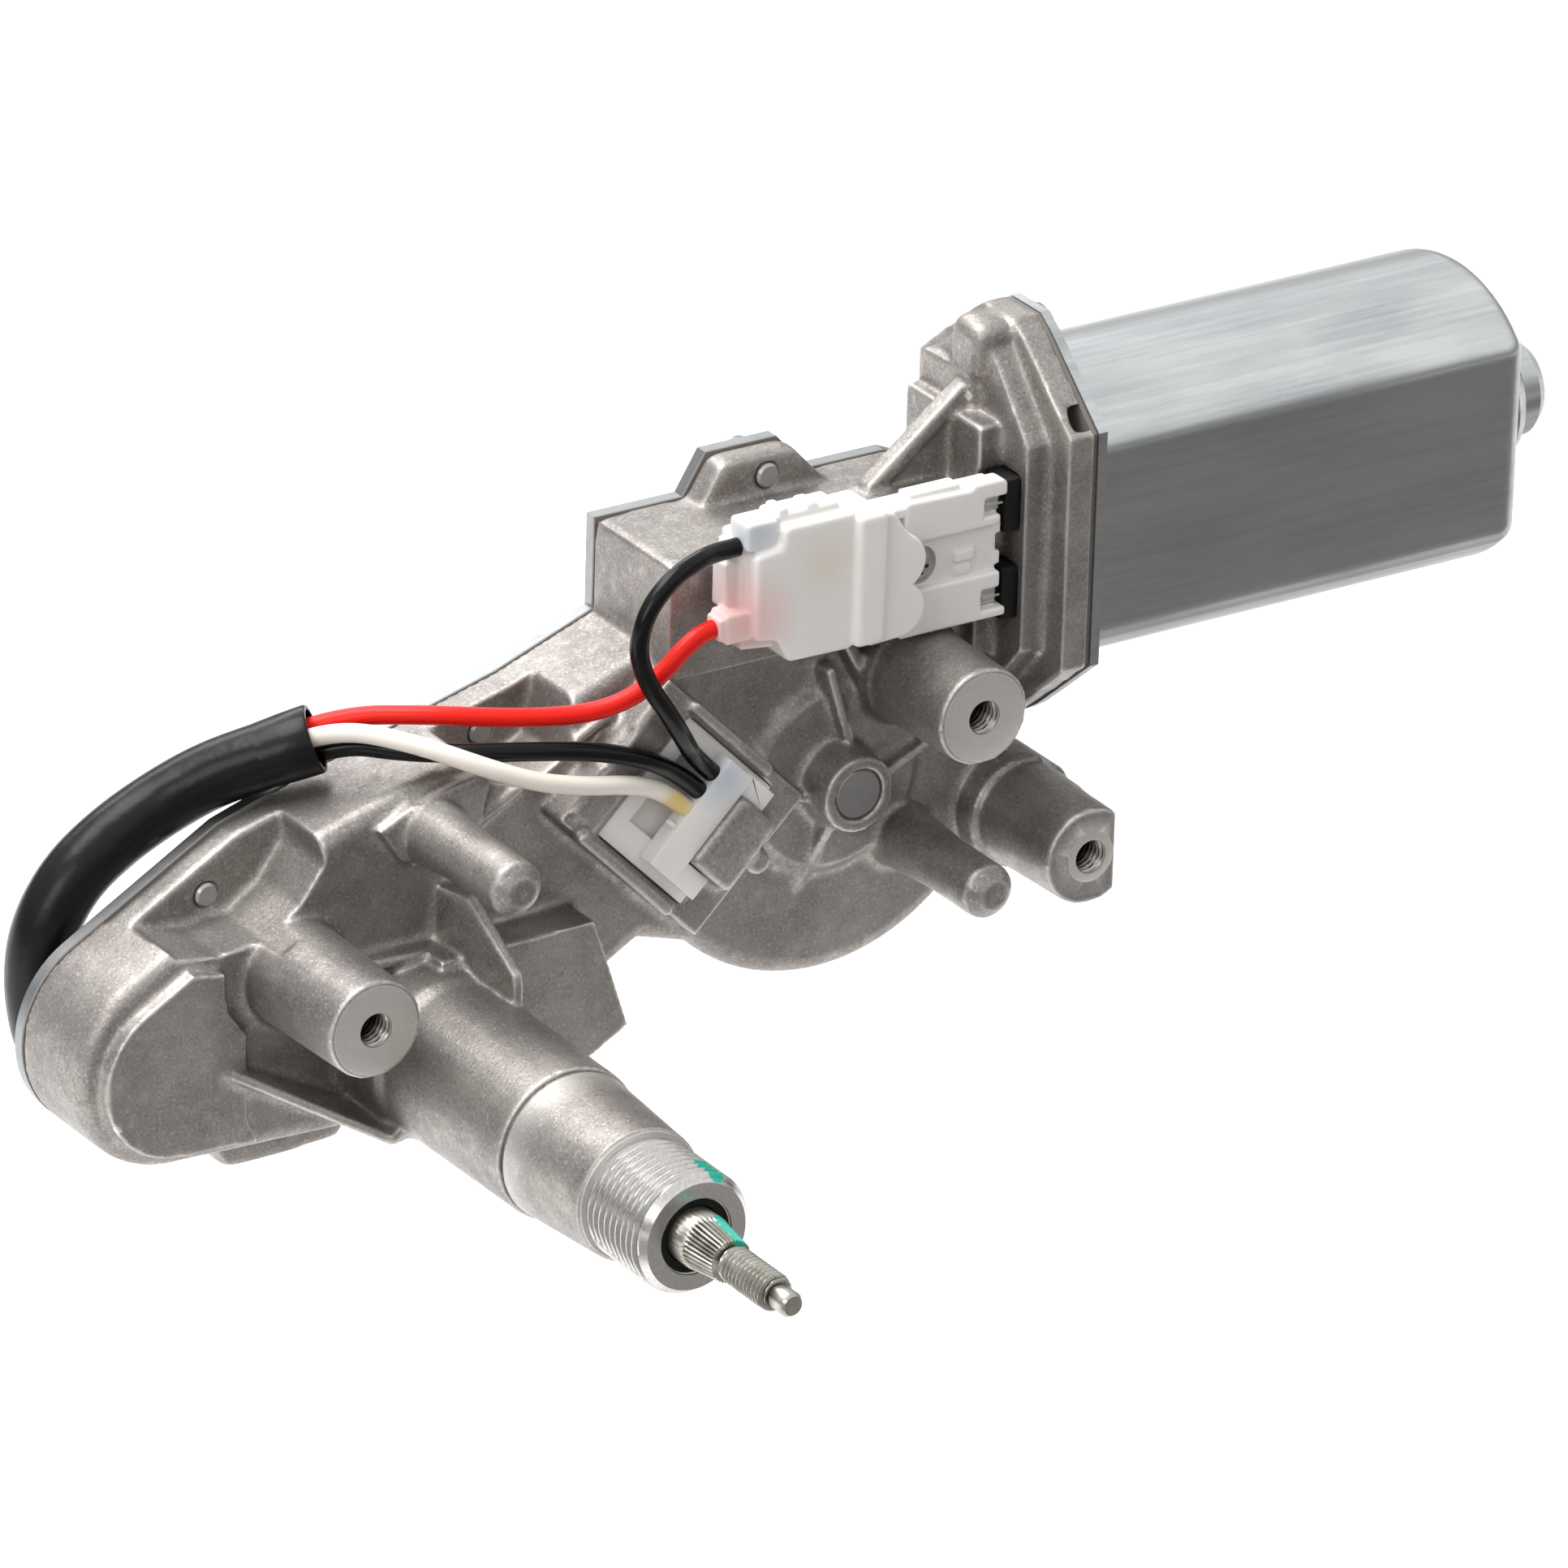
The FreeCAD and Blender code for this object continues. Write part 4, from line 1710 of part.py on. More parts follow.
def ring_tool(name, outer, inner, length, at):
    outside = cylinder(f"{name}_outside", outer, length, at, TO_BACK)
    inside = cylinder(f"{name}_inside", inner, f"{length} + 2", (at[0], f"{at[1]} - 1", at[2]), TO_BACK)
    return cut(name, outside, [inside])


# Rack rod and the output spindle.

def rack_rod():
    tail = RACK_END_U + CRANK
    eye = WHEEL_U + CRANK
    pitch = "{pinion_module} * pi"
    thick = "{rack_thick}"
    start_u = f"-{pitch} * 1.5 - 1.5"
    end_u = f"{pitch} * ({{rack_teeth}} - 0.5) + 1.5"
    body = doc.addObject("PartDesign::Body", "rack_blank")
    plan = sketch_on(body, "rack_plan", "XZ_Plane", "-({rack_y} + {rack_thick})")
    low = f"{RACK_V} - {{rack_half}}"
    high = f"{RACK_V} + {{rack_half}}"
    root_v = f"({PINION_R} + {{rack_in}})"
    draw(
        plan,
        [
            (f"{tail}", high),
            ("arc", "{rack_half}", f"{tail}", f"{RACK_V}", False),
            (f"{tail} - {{rack_half}}", f"{RACK_V}"),
            ("arc", "{rack_half}", f"{tail}", f"{RACK_V}", False),
            (f"{tail}", low),
            (f"{start_u} - 2", low),
            (start_u, root_v),
            (end_u, root_v),
            (f"{end_u} + 2", low),
            (f"{eye} - {{rod_eye_r}}", low),
            (f"{eye} - {{rod_eye_r}} * 0.6", f"{RACK_V} - {{rod_eye_r}} * 0.8"),
            ("arc", "{rod_eye_r}", f"{eye}", f"{RACK_V}", True),
            (f"{eye} - {{rod_eye_r}} * 0.6", f"{RACK_V} + {{rod_eye_r}} * 0.8"),
            (f"{eye} - {{rod_eye_r}}", high),
        ],
    )
    pad(body, plan, thick)
    doc.recompute()
    tooth = sketch_on(body, "rack_tooth", "XZ_Plane", "-({rack_y} + {rack_thick})")
    middle = f"-{pitch}"
    draw(
        tooth,
        [
            (f"{middle} - {{rack_tooth_root}} / 2", f"{root_v} + 0.4"),
            (f"{middle} - {{rack_tooth_tip}} / 2", f"{PINION_R} - {{rack_out}}"),
            (f"{middle} + {{rack_tooth_tip}} / 2", f"{PINION_R} - {{rack_out}}"),
            (f"{middle} + {{rack_tooth_root}} / 2", f"{root_v} + 0.4"),
        ],
    )
    tooth_pad = pad(body, tooth, thick)
    doc.recompute()
    row = body.newObject("PartDesign::LinearPattern", "rack_tooth_row")
    row.Originals = [tooth_pad]
    row.Direction = (origin_axis(body, "X_Axis"), [""])
    bind(row, "Length", f"{pitch} * ({{rack_teeth}} - 1)")
    bind(row, "Occurrences", "{rack_teeth}")
    body.Tip = row
    doc.recompute()
    hole = cylinder("rod_eye_bore", "{rod_eye_hole}", f"{thick} + 4", (eye, "{rack_y} - 2", RACK_V), TO_BACK)
    rod = cut("rack_rod", body, [hole])
    place(rod, (0, 0, 0), RACK_TURN)
    keep(rod, "rack_rod")


def rack_guide():
    """A steel plate round the pinion hub that holds a slide shoe against the back of the rack."""
    reach = f"{RACK_V} + {{rack_half}} + {{shoe_gap}} + {{shoe_width}} / 2"
    low = "{guide_y}"
    thick = "{guide_thick}"
    eye = cylinder("guide_eye", "{pinion_hub_dia} + 2 * {guide_eye_wall}", thick, (0, low, 0), TO_BACK)
    arm = box("guide_arm", ("{guide_arm_wide}", thick, reach), ("-{guide_arm_wide} / 2", low, 0))
    bar = box("guide_bar", ("{shoe_length}", thick, "{shoe_width}"), ("-{shoe_length} / 2", low, f"{reach} - {{shoe_width}} / 2"))
    hole = cylinder("guide_hole", "{pinion_hub_dia} + 0.5", f"{thick} + 4", (0, f"{low} - 2", 0), TO_BACK)
    plate = cut("guide_plate", fused("guide_plate_solid", [eye, arm, bar]), [hole])
    place(plate, (0, 0, 0), RACK_TURN)
    keep(plate, "guide_plate")
    shoe = box(
        "guide_shoe_block", ("{shoe_length}", "{rack_thick} + 0.8", "{shoe_width}"),
        ("-{shoe_length} / 2", f"{low} + {thick}", f"{RACK_V} + {{rack_half}} + {{shoe_gap}}"),
    )
    notch = box(
        "guide_shoe_notch", ("{shoe_notch_long}", "{rack_thick} + 4.6", "{shoe_notch_deep} + 0.2"),
        ("-{shoe_notch_long} / 2", f"{low} - 1", f"{reach} + {{shoe_width}} / 2 - {{shoe_notch_deep}}"),
    )
    piece = cut("guide_shoe", shoe, [notch])
    place(piece, (0, 0, 0), RACK_TURN)
    keep(piece, "guide_shoe")


def output_spindle():
    front = "{spindle_front_y}"
    thread_start = f"({front} + {{dog_length}})"
    serration_start = f"({thread_start} + {{spindle_thread_length}})"
    serration_end = f"({serration_start} + {{serration_length}})"
    ring_y = "({front_bush_y} - {ring_width} - 0.2)"
    profile = [
        (front, "0"),
        (front, "{dog_dia} / 2 - 0.4"),
        (f"{front} + 0.5", "{dog_dia} / 2"),
        (thread_start, "{dog_dia} / 2"),
        (f"{thread_start} + 0.6", "{spindle_thread_dia} / 2"),
        (serration_start, "{spindle_thread_dia} / 2"),
        (serration_start, "{serration_dia} / 2"),
        (serration_end, "{spindle_dia} / 2"),
        (f"{ring_y} - 0.05", "{spindle_dia} / 2"),
        (f"{ring_y} - 0.05", "{spindle_dia} / 2 - 0.6"),
        (f"{ring_y} + {{ring_width}} + 0.05", "{spindle_dia} / 2 - 0.6"),
        (f"{ring_y} + {{ring_width}} + 0.05", "{spindle_dia} / 2"),
        ("{spindle_rear_y} - 0.5", "{spindle_dia} / 2"),
        ("{spindle_rear_y}", "{spindle_dia} / 2 - 0.5"),
        ("{spindle_rear_y}", "0"),
    ]
    keep(turned("output_spindle", "y", profile), "output_spindle")
    bore = "{spindle_dia} + 2 * {running_gap}"
    ring("spindle_retaining_ring", "{ring_dia}", "{spindle_dia} - 1.2", "{ring_width}", (0, ring_y, 0), TO_BACK)
    ring("front_spindle_bush", "{bush_dia}", bore, "{front_bush_length}", (0, "{front_bush_y}", 0), TO_BACK)
    ring("rear_spindle_bush", "{bush_dia}", bore, "{rear_bush_length}", (0, "{rear_bush_y}", 0), TO_BACK)
    ring(
        "spindle_seal", "{bush_dia}", "{spindle_dia} + 2 * {seal_gap}", "{seal_width}", (0, "-{nose_length} + 0.8", 0), TO_BACK
    )
    washer_y = "{front_y} + {front_wall} - 0.6"
    ring("thrust_washer", "{bush_dia} - 0.2", bore, "{washer_width}", (0, washer_y, 0), TO_BACK)

    hub_y = f"({washer_y} + {{washer_width}} + 0.1)"
    rear = "({rack_y} + {rack_thick})"
    body = doc.addObject("PartDesign::Body", "pinion")
    root_dia = f"({PINION_R} - {{rack_in}}) * 2"
    gear = sketch_on(body, "pinion_root", "XZ_Plane", f"-({rear})")
    draw_circle(gear, root_dia, "0", "0")
    draw_circle(gear, "{spindle_dia}", "0", "0")
    pad(body, gear, "{rack_thick} + 0.2")
    doc.recompute()
    hub = sketch_on(body, "pinion_hub", "XZ_Plane", "-({rack_y})")
    draw_circle(hub, "{pinion_hub_dia}", "0", "0")
    draw_circle(hub, "{spindle_dia}", "0", "0")
    pad(body, hub, f"{{rack_y}} - {hub_y}")
    doc.recompute()
    tooth = sketch_on(body, "pinion_tooth", "XZ_Plane", f"-({rear})")
    tip = f"{PINION_R} + {{rack_out}}"
    low = f"{PINION_R} - {{rack_in}} - 0.4"
    draw(
        tooth,
        [
            ("-{pinion_tooth_root} / 2", low),
            ("-{pinion_tooth_root} / 2 + 0.15", f"{PINION_R} - 0.7"),
            ("-0.78", f"{PINION_R}"),
            ("-{pinion_tooth_tip} / 2", tip),
            ("{pinion_tooth_tip} / 2", tip),
            ("0.78", f"{PINION_R}"),
            ("{pinion_tooth_root} / 2 - 0.15", f"{PINION_R} - 0.7"),
            ("{pinion_tooth_root} / 2", low),
        ],
    )
    tooth_pad = pad(body, tooth, "{rack_thick}")
    doc.recompute()
    pattern(body, tooth_pad, origin_axis(body, "Y_Axis"), "{pinion_teeth}")
    half_tooth = 180.0 / value("sizes.pinion_teeth")
    place(body, (0, 0, 0), Rotation(Vector(0, 1, 0), half_tooth - math.degrees(RACK_ANGLE)))
    keep(body, "pinion")


# Wires, sleeve and the plug at their end.

def cord(name, points, diameter):
    """A round cord along straight runs joined by tangent arcs."""
    route = [Vector(point) if isinstance(point, Vector) else Vector(*point) for point in points]
    edges = []
    here = route[0]
    for before, corner, after in zip(route, route[1:], route[2:]):
        coming = (before - corner).normalize()
        going = (after - corner).normalize()
        half_turn = (math.pi - coming.getAngle(going)) / 2
        shorter = min((before - corner).Length, (after - corner).Length)
        setback = 0.45 * shorter
        radius = setback / math.tan(half_turn)
        start = corner + coming * setback
        end = corner + going * setback
        inward = (coming + going).normalize()
        middle = corner + inward * (radius / math.cos(half_turn) - radius)
        edges.append(Part.LineSegment(here, start).toShape())
        edges.append(Part.Arc(start, middle, end).toShape())
        here = end
        print(f"{name} radius {radius:.1f}")
    edges.append(Part.LineSegment(here, route[-1]).toShape())
    path = Part.Wire(edges)
    section = Part.Wire(Part.Circle(route[0], route[1] - route[0], diameter / 2).toShape())
    tube = path.makePipeShell([section], True, False)
    if tube.ShapeType != "Solid":
        tube = Part.Solid(tube)
    plain = math.pi * diameter ** 2 / 4 * path.Length
    print(f"{name} length {path.Length:.1f} volume {tube.Volume:.1f} section by length {plain:.1f}")
    item = doc.addObject("Part::Feature", name)
    item.Shape = tube
    item.Placement = FreeCAD.Placement()
    return keep(item, name)


# Corner points of the cords, from the plugs and the sleeve's mouth.
MOUTH = Vector(-10.9, 79.2, 45.6)
MOUTH_RUN = Vector(-5.8, 3.6, -2.6)
WIRE_SPREAD = 2.4
PLUG_FACE = value("sizes.keeper_start - 0.1 - sizes.switch_plug_bar")
FEED_FACE_X = value("sizes.feed_plug_x - sizes.feed_port_long")
SLEEVE_BACK_Y = value(COVER_BACK_Y) + value("sizes.clip_strap + sizes.clip_gap + sizes.sleeve_dia / 2")


def plug_exit(across, run, depth):
    """The end of a wire at the switch plug's face, and the first corner straight out of it."""
    along = Vector(math.sqrt(0.5), 0, -math.sqrt(0.5))
    side = Vector(math.sqrt(0.5), 0, math.sqrt(0.5))
    start = Vector(value("sizes.switch_x"), depth, value("sizes.switch_z")) + along * PLUG_FACE + side * across
    return [start, start - along * run]


def mouth_entry(angle, run):
    """The last corner of a wire and its end in the sleeve's mouth."""
    onward = Vector(MOUTH_RUN).normalize()
    upward = Vector(0, 0, 1) - onward * onward.z
    upward.normalize()
    sideways = onward.cross(upward)
    turn = math.radians(angle)
    end = MOUTH + (upward * math.cos(turn) + sideways * math.sin(turn)) * WIRE_SPREAD
    return [end - onward * run, end]


def harness():
    clip_z = -13.4
    sleeve_end_x = value("sizes.tail_connector_x")
    sleeve = [
        MOUTH, MOUTH + MOUTH_RUN, (-23.2, 87.5, 39.4), (-30.4, 90.4, 35.0), (-38.2, 91.4, 30.6), (-45.4, 91.4, 25.4),
        (-50.2, 91.4, 17.4), (-50.8, 91.6, 7.8), (-48.2, 92.2, -2.4), (-41.6, 92.8, -10.2), (-31.6, 93.2, -14.8),
        (-20.6, 93.4, -16.2), (-10.4, 92.2, -14.8), (sleeve_end_x - 9.6, SLEEVE_BACK_Y, clip_z),
        (sleeve_end_x, SLEEVE_BACK_Y, clip_z),
    ]
    cord("harness_sleeve", sleeve, value("sizes.sleeve_dia"))
    red = [(FEED_FACE_X - 0.5, 54.0, 61.7), (FEED_FACE_X - 5.0, 54.0, 61.7), (41.2, 54.0, 59.8), (37.8, 54.6, 56.0)]
    red += [(33.6, 56.0, 52.4), (28.4, 58.0, 50.2), (22.0, 60.6, 49.6), (13.4, 64.2, 50.0), (4.2, 69.2, 50.6)]
    cord("red_wire", red + mouth_entry(60, 7), value("sizes.wire_dia"))
    loop = [(FEED_FACE_X, 54.0, 74.3), (FEED_FACE_X - 3.8, 54.0, 74.3), (41.4, 52.0, 74.6), (35.6, 50.5, 73.2)]
    loop += [(31.3, 50.2, 69.0), (29.9, 50.4, 63.2), (32.0, 50.8, 57.0), (36.6, 50.8, 50.2), (40.4, 52.4, 44.6)]
    loop += list(reversed(plug_exit(7.0, 5.0, 56.2)))
    cord("black_loop_wire", loop, value("sizes.wire_dia"))
    black = plug_exit(3.6, 5.0, 56.2) + [(34.6, 54.6, 42.2), (26.3, 56.5, 44.6), (16.2, 59.0, 45.8)]
    black += [(6.4, 62.4, 46.3), (-0.6, 68.8, 45.7)]
    cord("black_wire", black + mouth_entry(180, 5.5), value("sizes.wire_dia"))
    white = plug_exit(0.2, 5.0, 56.2) + [(32.2, 54.2, 38.6), (23.7, 54.3, 40.1), (14.8, 55.0, 42.6)]
    white += [(6.5, 57.8, 46.2), (-0.6, 64.4, 48.8)]
    cord("white_wire", white + mouth_entry(-60, 6), value("sizes.wire_dia"))

    loop_dia = "({sleeve_dia} + 2 * {clip_gap})"
    outer = cylinder(
        "clip_loop_outside", f"{loop_dia} + 2 * {{clip_strap}}", "{clip_width}",
        ("{clip_x}", SLEEVE_BACK_Y, clip_z), ALONG_X,
    )
    foot = box("clip_foot", ("{clip_width}", "{clip_strap}", "{clip_reach}"), ("{clip_x}", COVER_BACK_Y, clip_z))
    inner = cylinder("clip_loop_inside", loop_dia, "{clip_width} + 2", ("{clip_x} - 1", SLEEVE_BACK_Y, clip_z), ALONG_X)
    strap = cut("clip_band", fused("clip_solid", [outer, foot]), [inner])
    rivet_at = ("{clip_x} + {clip_width} / 2", COVER_BACK_Y, f"{clip_z} + {{clip_reach}} - 2.8")
    rivet = cone("clip_rivet", 4.0, 2.6, "{clip_strap} + 1.0", rivet_at, TO_BACK)
    keep(fused("harness_clip", [strap, rivet]), "harness_clip")

    start_x = "{tail_connector_x}"
    low_y = f"{SLEEVE_BACK_Y} - {{tail_connector_deep}} / 2"
    low_z = f"{clip_z} - {{tail_connector_high}} / 2"
    shell = box("tail_shell", ("{tail_connector_long}", "{tail_connector_deep}", "{tail_connector_high}"), (start_x, low_y, low_z))
    mouth = box(
        "tail_mouth", (9, "{tail_connector_deep} - 3", "{tail_connector_high} - 3"),
        (f"{start_x} + {{tail_connector_long}} - 8", f"{low_y} + 1.5", f"{low_z} + 1.5"),
    )
    rib = box("tail_latch", (10, 1.4, 4), (f"{start_x} + 6", f"{SLEEVE_BACK_Y} + {{tail_connector_deep}} / 2 - 0.1", clip_z - 2))
    keep(cut("harness_connector", fused("tail_solid", [shell, rib]), [mouth]), "harness_connector")


# The crank pin stands at the end of its stroke, on the rack's line.
CRANK_X = value("sizes.wheel_x") + CRANK * math.cos(RACK_ANGLE)
CRANK_Z = value("sizes.wheel_z") + CRANK * math.sin(RACK_ANGLE)

gear_housing()
cover_pieces()
cover_screws()
motor_can()
flange_gasket()
yoke_screws()
magnets()
armature()
motor_bearings()
brush_gear()
feed_connector()
park_switch()
worm_wheel()
rack_rod()
rack_guide()
output_spindle()
harness()
doc.recompute()

for item in doc.Objects:
    if "Invalid" in item.State or "Error" in item.State:
        raise RuntimeError(f"{item.Name} did not build: {item.State}")
for name, item in subparts.items():
    if item.Shape.isNull() or not item.Shape.isValid() or not item.Shape.Solids:
        raise RuntimeError(f"{name} has no valid solid")

os.makedirs("parts", exist_ok=True)
for name, item in subparts.items():
    item.Shape.exportStep(f"parts/{name}.step")
    print(f"{name}: {len(item.Shape.Solids)} solid(s), {item.Shape.Volume:.0f} mm3")
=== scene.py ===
import json
import math

import bpy
import numpy as np
from mathutils import Matrix, Vector


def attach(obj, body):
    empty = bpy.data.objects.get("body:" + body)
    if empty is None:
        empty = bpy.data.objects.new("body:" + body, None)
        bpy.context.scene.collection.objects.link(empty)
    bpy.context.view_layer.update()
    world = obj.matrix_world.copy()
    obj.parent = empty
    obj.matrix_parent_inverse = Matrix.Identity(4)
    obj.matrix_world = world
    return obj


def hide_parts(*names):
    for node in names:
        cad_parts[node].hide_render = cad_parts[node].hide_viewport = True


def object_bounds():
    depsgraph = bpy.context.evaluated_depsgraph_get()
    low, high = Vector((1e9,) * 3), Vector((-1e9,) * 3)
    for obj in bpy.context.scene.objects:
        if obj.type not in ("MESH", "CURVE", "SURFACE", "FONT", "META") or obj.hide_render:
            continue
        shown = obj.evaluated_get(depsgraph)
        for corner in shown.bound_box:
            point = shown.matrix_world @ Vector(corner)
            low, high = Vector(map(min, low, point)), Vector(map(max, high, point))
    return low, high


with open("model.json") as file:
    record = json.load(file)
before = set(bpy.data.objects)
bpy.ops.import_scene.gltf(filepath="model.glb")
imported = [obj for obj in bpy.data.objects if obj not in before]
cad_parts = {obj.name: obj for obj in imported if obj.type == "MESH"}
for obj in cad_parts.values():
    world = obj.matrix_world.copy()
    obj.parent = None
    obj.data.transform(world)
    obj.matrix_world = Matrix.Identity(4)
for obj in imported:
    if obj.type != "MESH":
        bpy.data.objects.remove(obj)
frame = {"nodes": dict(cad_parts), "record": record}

CAD_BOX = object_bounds()
MM = 0.001
NODES = frame["nodes"]


def mm(x, y, z):
    return Vector((x, y, z)) * MM


# Camera, as the photograph was taken. Pixels are those of the photograph.
IMAGE_SIZE = 1932
SENSOR_WIDTH = 36.0
FOCAL_PIXELS = 17300
ORIGIN_PIXEL = (788.9, 1473.9)
VIEW_AZIMUTH = math.radians(-33.86)
VIEW_ELEVATION = math.radians(24.82)
VIEW_ROLL = math.radians(1.74)
VIEW_DISTANCE = 2.097


def make_camera():
    back = Vector((
        math.sin(VIEW_AZIMUTH) * math.cos(VIEW_ELEVATION),
        -math.cos(VIEW_AZIMUTH) * math.cos(VIEW_ELEVATION),
        math.sin(VIEW_ELEVATION),
    ))
    right = (-back).cross(Vector((0, 0, 1))).normalized()
    up = right.cross(-back)
    rolled_right = right * math.cos(VIEW_ROLL) + up * math.sin(VIEW_ROLL)
    rolled_up = up * math.cos(VIEW_ROLL) - right * math.sin(VIEW_ROLL)
    aside = (ORIGIN_PIXEL[0] - IMAGE_SIZE / 2) * VIEW_DISTANCE / FOCAL_PIXELS
    above = -(ORIGIN_PIXEL[1] - IMAGE_SIZE / 2) * VIEW_DISTANCE / FOCAL_PIXELS
    place = back * VIEW_DISTANCE - rolled_right * aside - rolled_up * above
    data = bpy.data.cameras.new("photo_camera")
    data.sensor_width = SENSOR_WIDTH
    data.lens = FOCAL_PIXELS * SENSOR_WIDTH / IMAGE_SIZE
    camera = bpy.data.objects.new("photo_camera", data)
    bpy.context.scene.collection.objects.link(camera)
    turn = Matrix((rolled_right, rolled_up, back)).transposed()
    camera.matrix_world = Matrix.Translation(place) @ turn.to_4x4()
    bpy.context.scene.camera = camera


# Materials. Sizes of patterns are in millimetres. Colours are sRGB, as hexadecimal digits.

def rgb(code):
    """A linear colour from six hexadecimal sRGB digits."""
    channels = [int(code[i:i + 2], 16) / 255 for i in (0, 2, 4)]
    linear = [c / 12.92 if c <= 0.04045 else ((c + 0.055) / 1.055) ** 2.4 for c in channels]
    return (*linear, 1.0)


def feed(material, socket, given):
    """Gives an input a value, or links it to the output that feeds it."""
    if isinstance(given, bpy.types.NodeSocket):
        material.node_tree.links.new(given, socket)
    else:
        socket.default_value = given


def add(material, kind, inputs=None, output=0, **settings):
    """Adds a node with its settings and its inputs, and returns one of its outputs."""
    made = material.node_tree.nodes.new(kind)
    for name, setting in settings.items():
        setattr(made, name, setting)
    for name, given in (inputs or {}).items():
        feed(material, made.inputs[name], given)
    return made.outputs[output]


def shader_input(material, name):
    return material.node_tree.nodes["Principled BSDF"].inputs[name]


def new_material(name, **inputs):
    """A material with one principled shader. Spaces in input names are written as underscores."""
    material = bpy.data.materials.new(name)
    material.use_nodes = True
    for key, given in inputs.items():
        feed(material, shader_input(material, key.replace("_", " ")), given)
    return material


def finished(material, colour, roughness=None, relief=None, depth=0.0, strength=1.0):
    """Links the colour to the shader, with the roughness and a relief of that depth, if there are any."""
    feed(material, shader_input(material, "Base Color"), colour)
    if roughness is not None:
        feed(material, shader_input(material, "Roughness"), roughness)
    if relief is not None:
        inputs = {"Height": relief, "Distance": depth * MM, "Strength": strength}
        feed(material, shader_input(material, "Normal"), add(material, "ShaderNodeBump", inputs, "Normal"))
    return material


def run(pattern, low, high, start=0.0, end=1.0):
    """The inputs that go from start to end while a pattern goes from low to high."""
    return {"Value": pattern, "From Min": low, "From Max": high, "To Min": start, "To Max": end}


def place_on(material, stretch=(1, 1, 1)):
    """The place on the piece in millimetres, stretched along each axis."""
    scale = [factor / MM for factor in stretch]
    whole = add(material, "ShaderNodeTexCoord", output="Object")
    return add(material, "ShaderNodeMapping", {"Vector": whole, "Scale": scale})


def mottle(material, size, detail=3.0, roughness=0.5, stretch=(1, 1, 1)):
    """An uneven pattern with patches of that size."""
    place = place_on(material, stretch)
    inputs = {"Vector": place, "Scale": 1 / size, "Detail": detail, "Roughness": roughness}
    return add(material, "ShaderNodeTexNoise", inputs, "Fac")


def tinted(material, base, colour, pattern, low=0.0, high=1.0, most=1.0):
    """Lays a colour over the base: none of it where the pattern is low, and the most where it is high."""
    share = add(material, "ShaderNodeMapRange", run(pattern, low, high, 0.0, most))
    return add(material, "ShaderNodeMix", {0: share, 6: base, 7: colour}, 2, data_type="RGBA")


def near(material, point, reach, soft):
    """One close to a point, falling to nought at reach, over soft millimetres."""
    inputs = {0: place_on(material), 1: point}
    away = add(material, "ShaderNodeVectorMath", inputs, "Value", operation="DISTANCE")
    return add(material, "ShaderNodeMapRange", run(away, reach - soft, reach, 1.0, 0.0))


MARK_EDGE = 0.3


def painted_mark(material, x, z, wide, front, back):
    """One on a ragged mark along Y through (x, z), between two depths, and nought elsewhere."""
    inputs = {0: place_on(material, (1, 0, 1)), 1: (x, 0, z)}
    aside = add(material, "ShaderNodeVectorMath", inputs, "Value", operation="DISTANCE")
    inputs = {0: mottle(material, 1.4), 1: wide, 2: aside}
    ragged = add(material, "ShaderNodeMath", inputs, operation="MULTIPLY_ADD")
    depth = add(material, "ShaderNodeSeparateXYZ", {0: place_on(material)}, "Y")
    begun = add(material, "ShaderNodeMapRange", run(depth, front, front + MARK_EDGE))
    ended = add(material, "ShaderNodeMapRange", run(depth, back - MARK_EDGE, back, begun, 0.0))
    return add(material, "ShaderNodeMapRange", run(ragged, wide * 1.25, wide * 1.45, ended, 0.0))


MARK_GREEN = "17a790"
SCRAPE_PLACE = (-7.0, 61.0, -7.2)


def cast_aluminium():
    """Die-cast and shot-blasted: satin grey with a fine grain; edges pale, partly from wear and partly a
    painted highlight; painted shade in corners.

    Real grit is finer than the grain of 0.5 mm, which is as fine as shows at this distance.
    """
    material = new_material("die_cast_aluminium", Metallic=0.85, IOR=1.45)
    cloud = mottle(material, 14.0, detail=5.0, roughness=0.6)
    base = tinted(material, rgb("8b8683"), rgb("a39e99"), cloud, 0.36, 0.64)
    stain = mottle(material, 3.2, detail=4.0, roughness=0.7)
    base = tinted(material, base, rgb("bdb8b3"), stain, 0.52, 0.7, 0.4)
    base = tinted(material, base, rgb("6d6864"), stain, 0.44, 0.28, 0.35)
    grain = mottle(material, 0.5, roughness=0.7)
    base = tinted(material, base, rgb("d6d2ce"), grain, 0.56, 0.74, 0.75)
    base = tinted(material, base, rgb("5c5753"), grain, 0.44, 0.28, 0.7)
    # Pale convex edges: partly wear, partly painted highlight. Dark concave corners: painted shade.
    edge = add(material, "ShaderNodeNewGeometry", output="Pointiness")
    base = tinted(material, base, rgb("e2deda"), edge, 0.515, 0.57, 0.85)
    base = tinted(material, base, rgb("4c4743"), edge, 0.485, 0.42, 0.55)
    scratches = mottle(material, 0.9, detail=2.0, stretch=(1, 0.4, 2.0))
    scraped = near(material, SCRAPE_PLACE, 5.0, 2.5)
    base = tinted(material, base, rgb("e4e2df"), scratches, 0.48, 0.56, scraped)
    rough = add(material, "ShaderNodeMapRange", run(stain, 0.3, 0.7, 0.52, 0.4))
    return finished(material, base, rough, grain, 0.07, 0.8)


def painted_root_shade(material, base, root):
    """Paints shade into the inner corners of a thread or a serration."""
    corner = add(material, "ShaderNodeNewGeometry", output="Pointiness")
    return tinted(material, base, rgb(root), corner, 0.496, 0.46, 0.92)


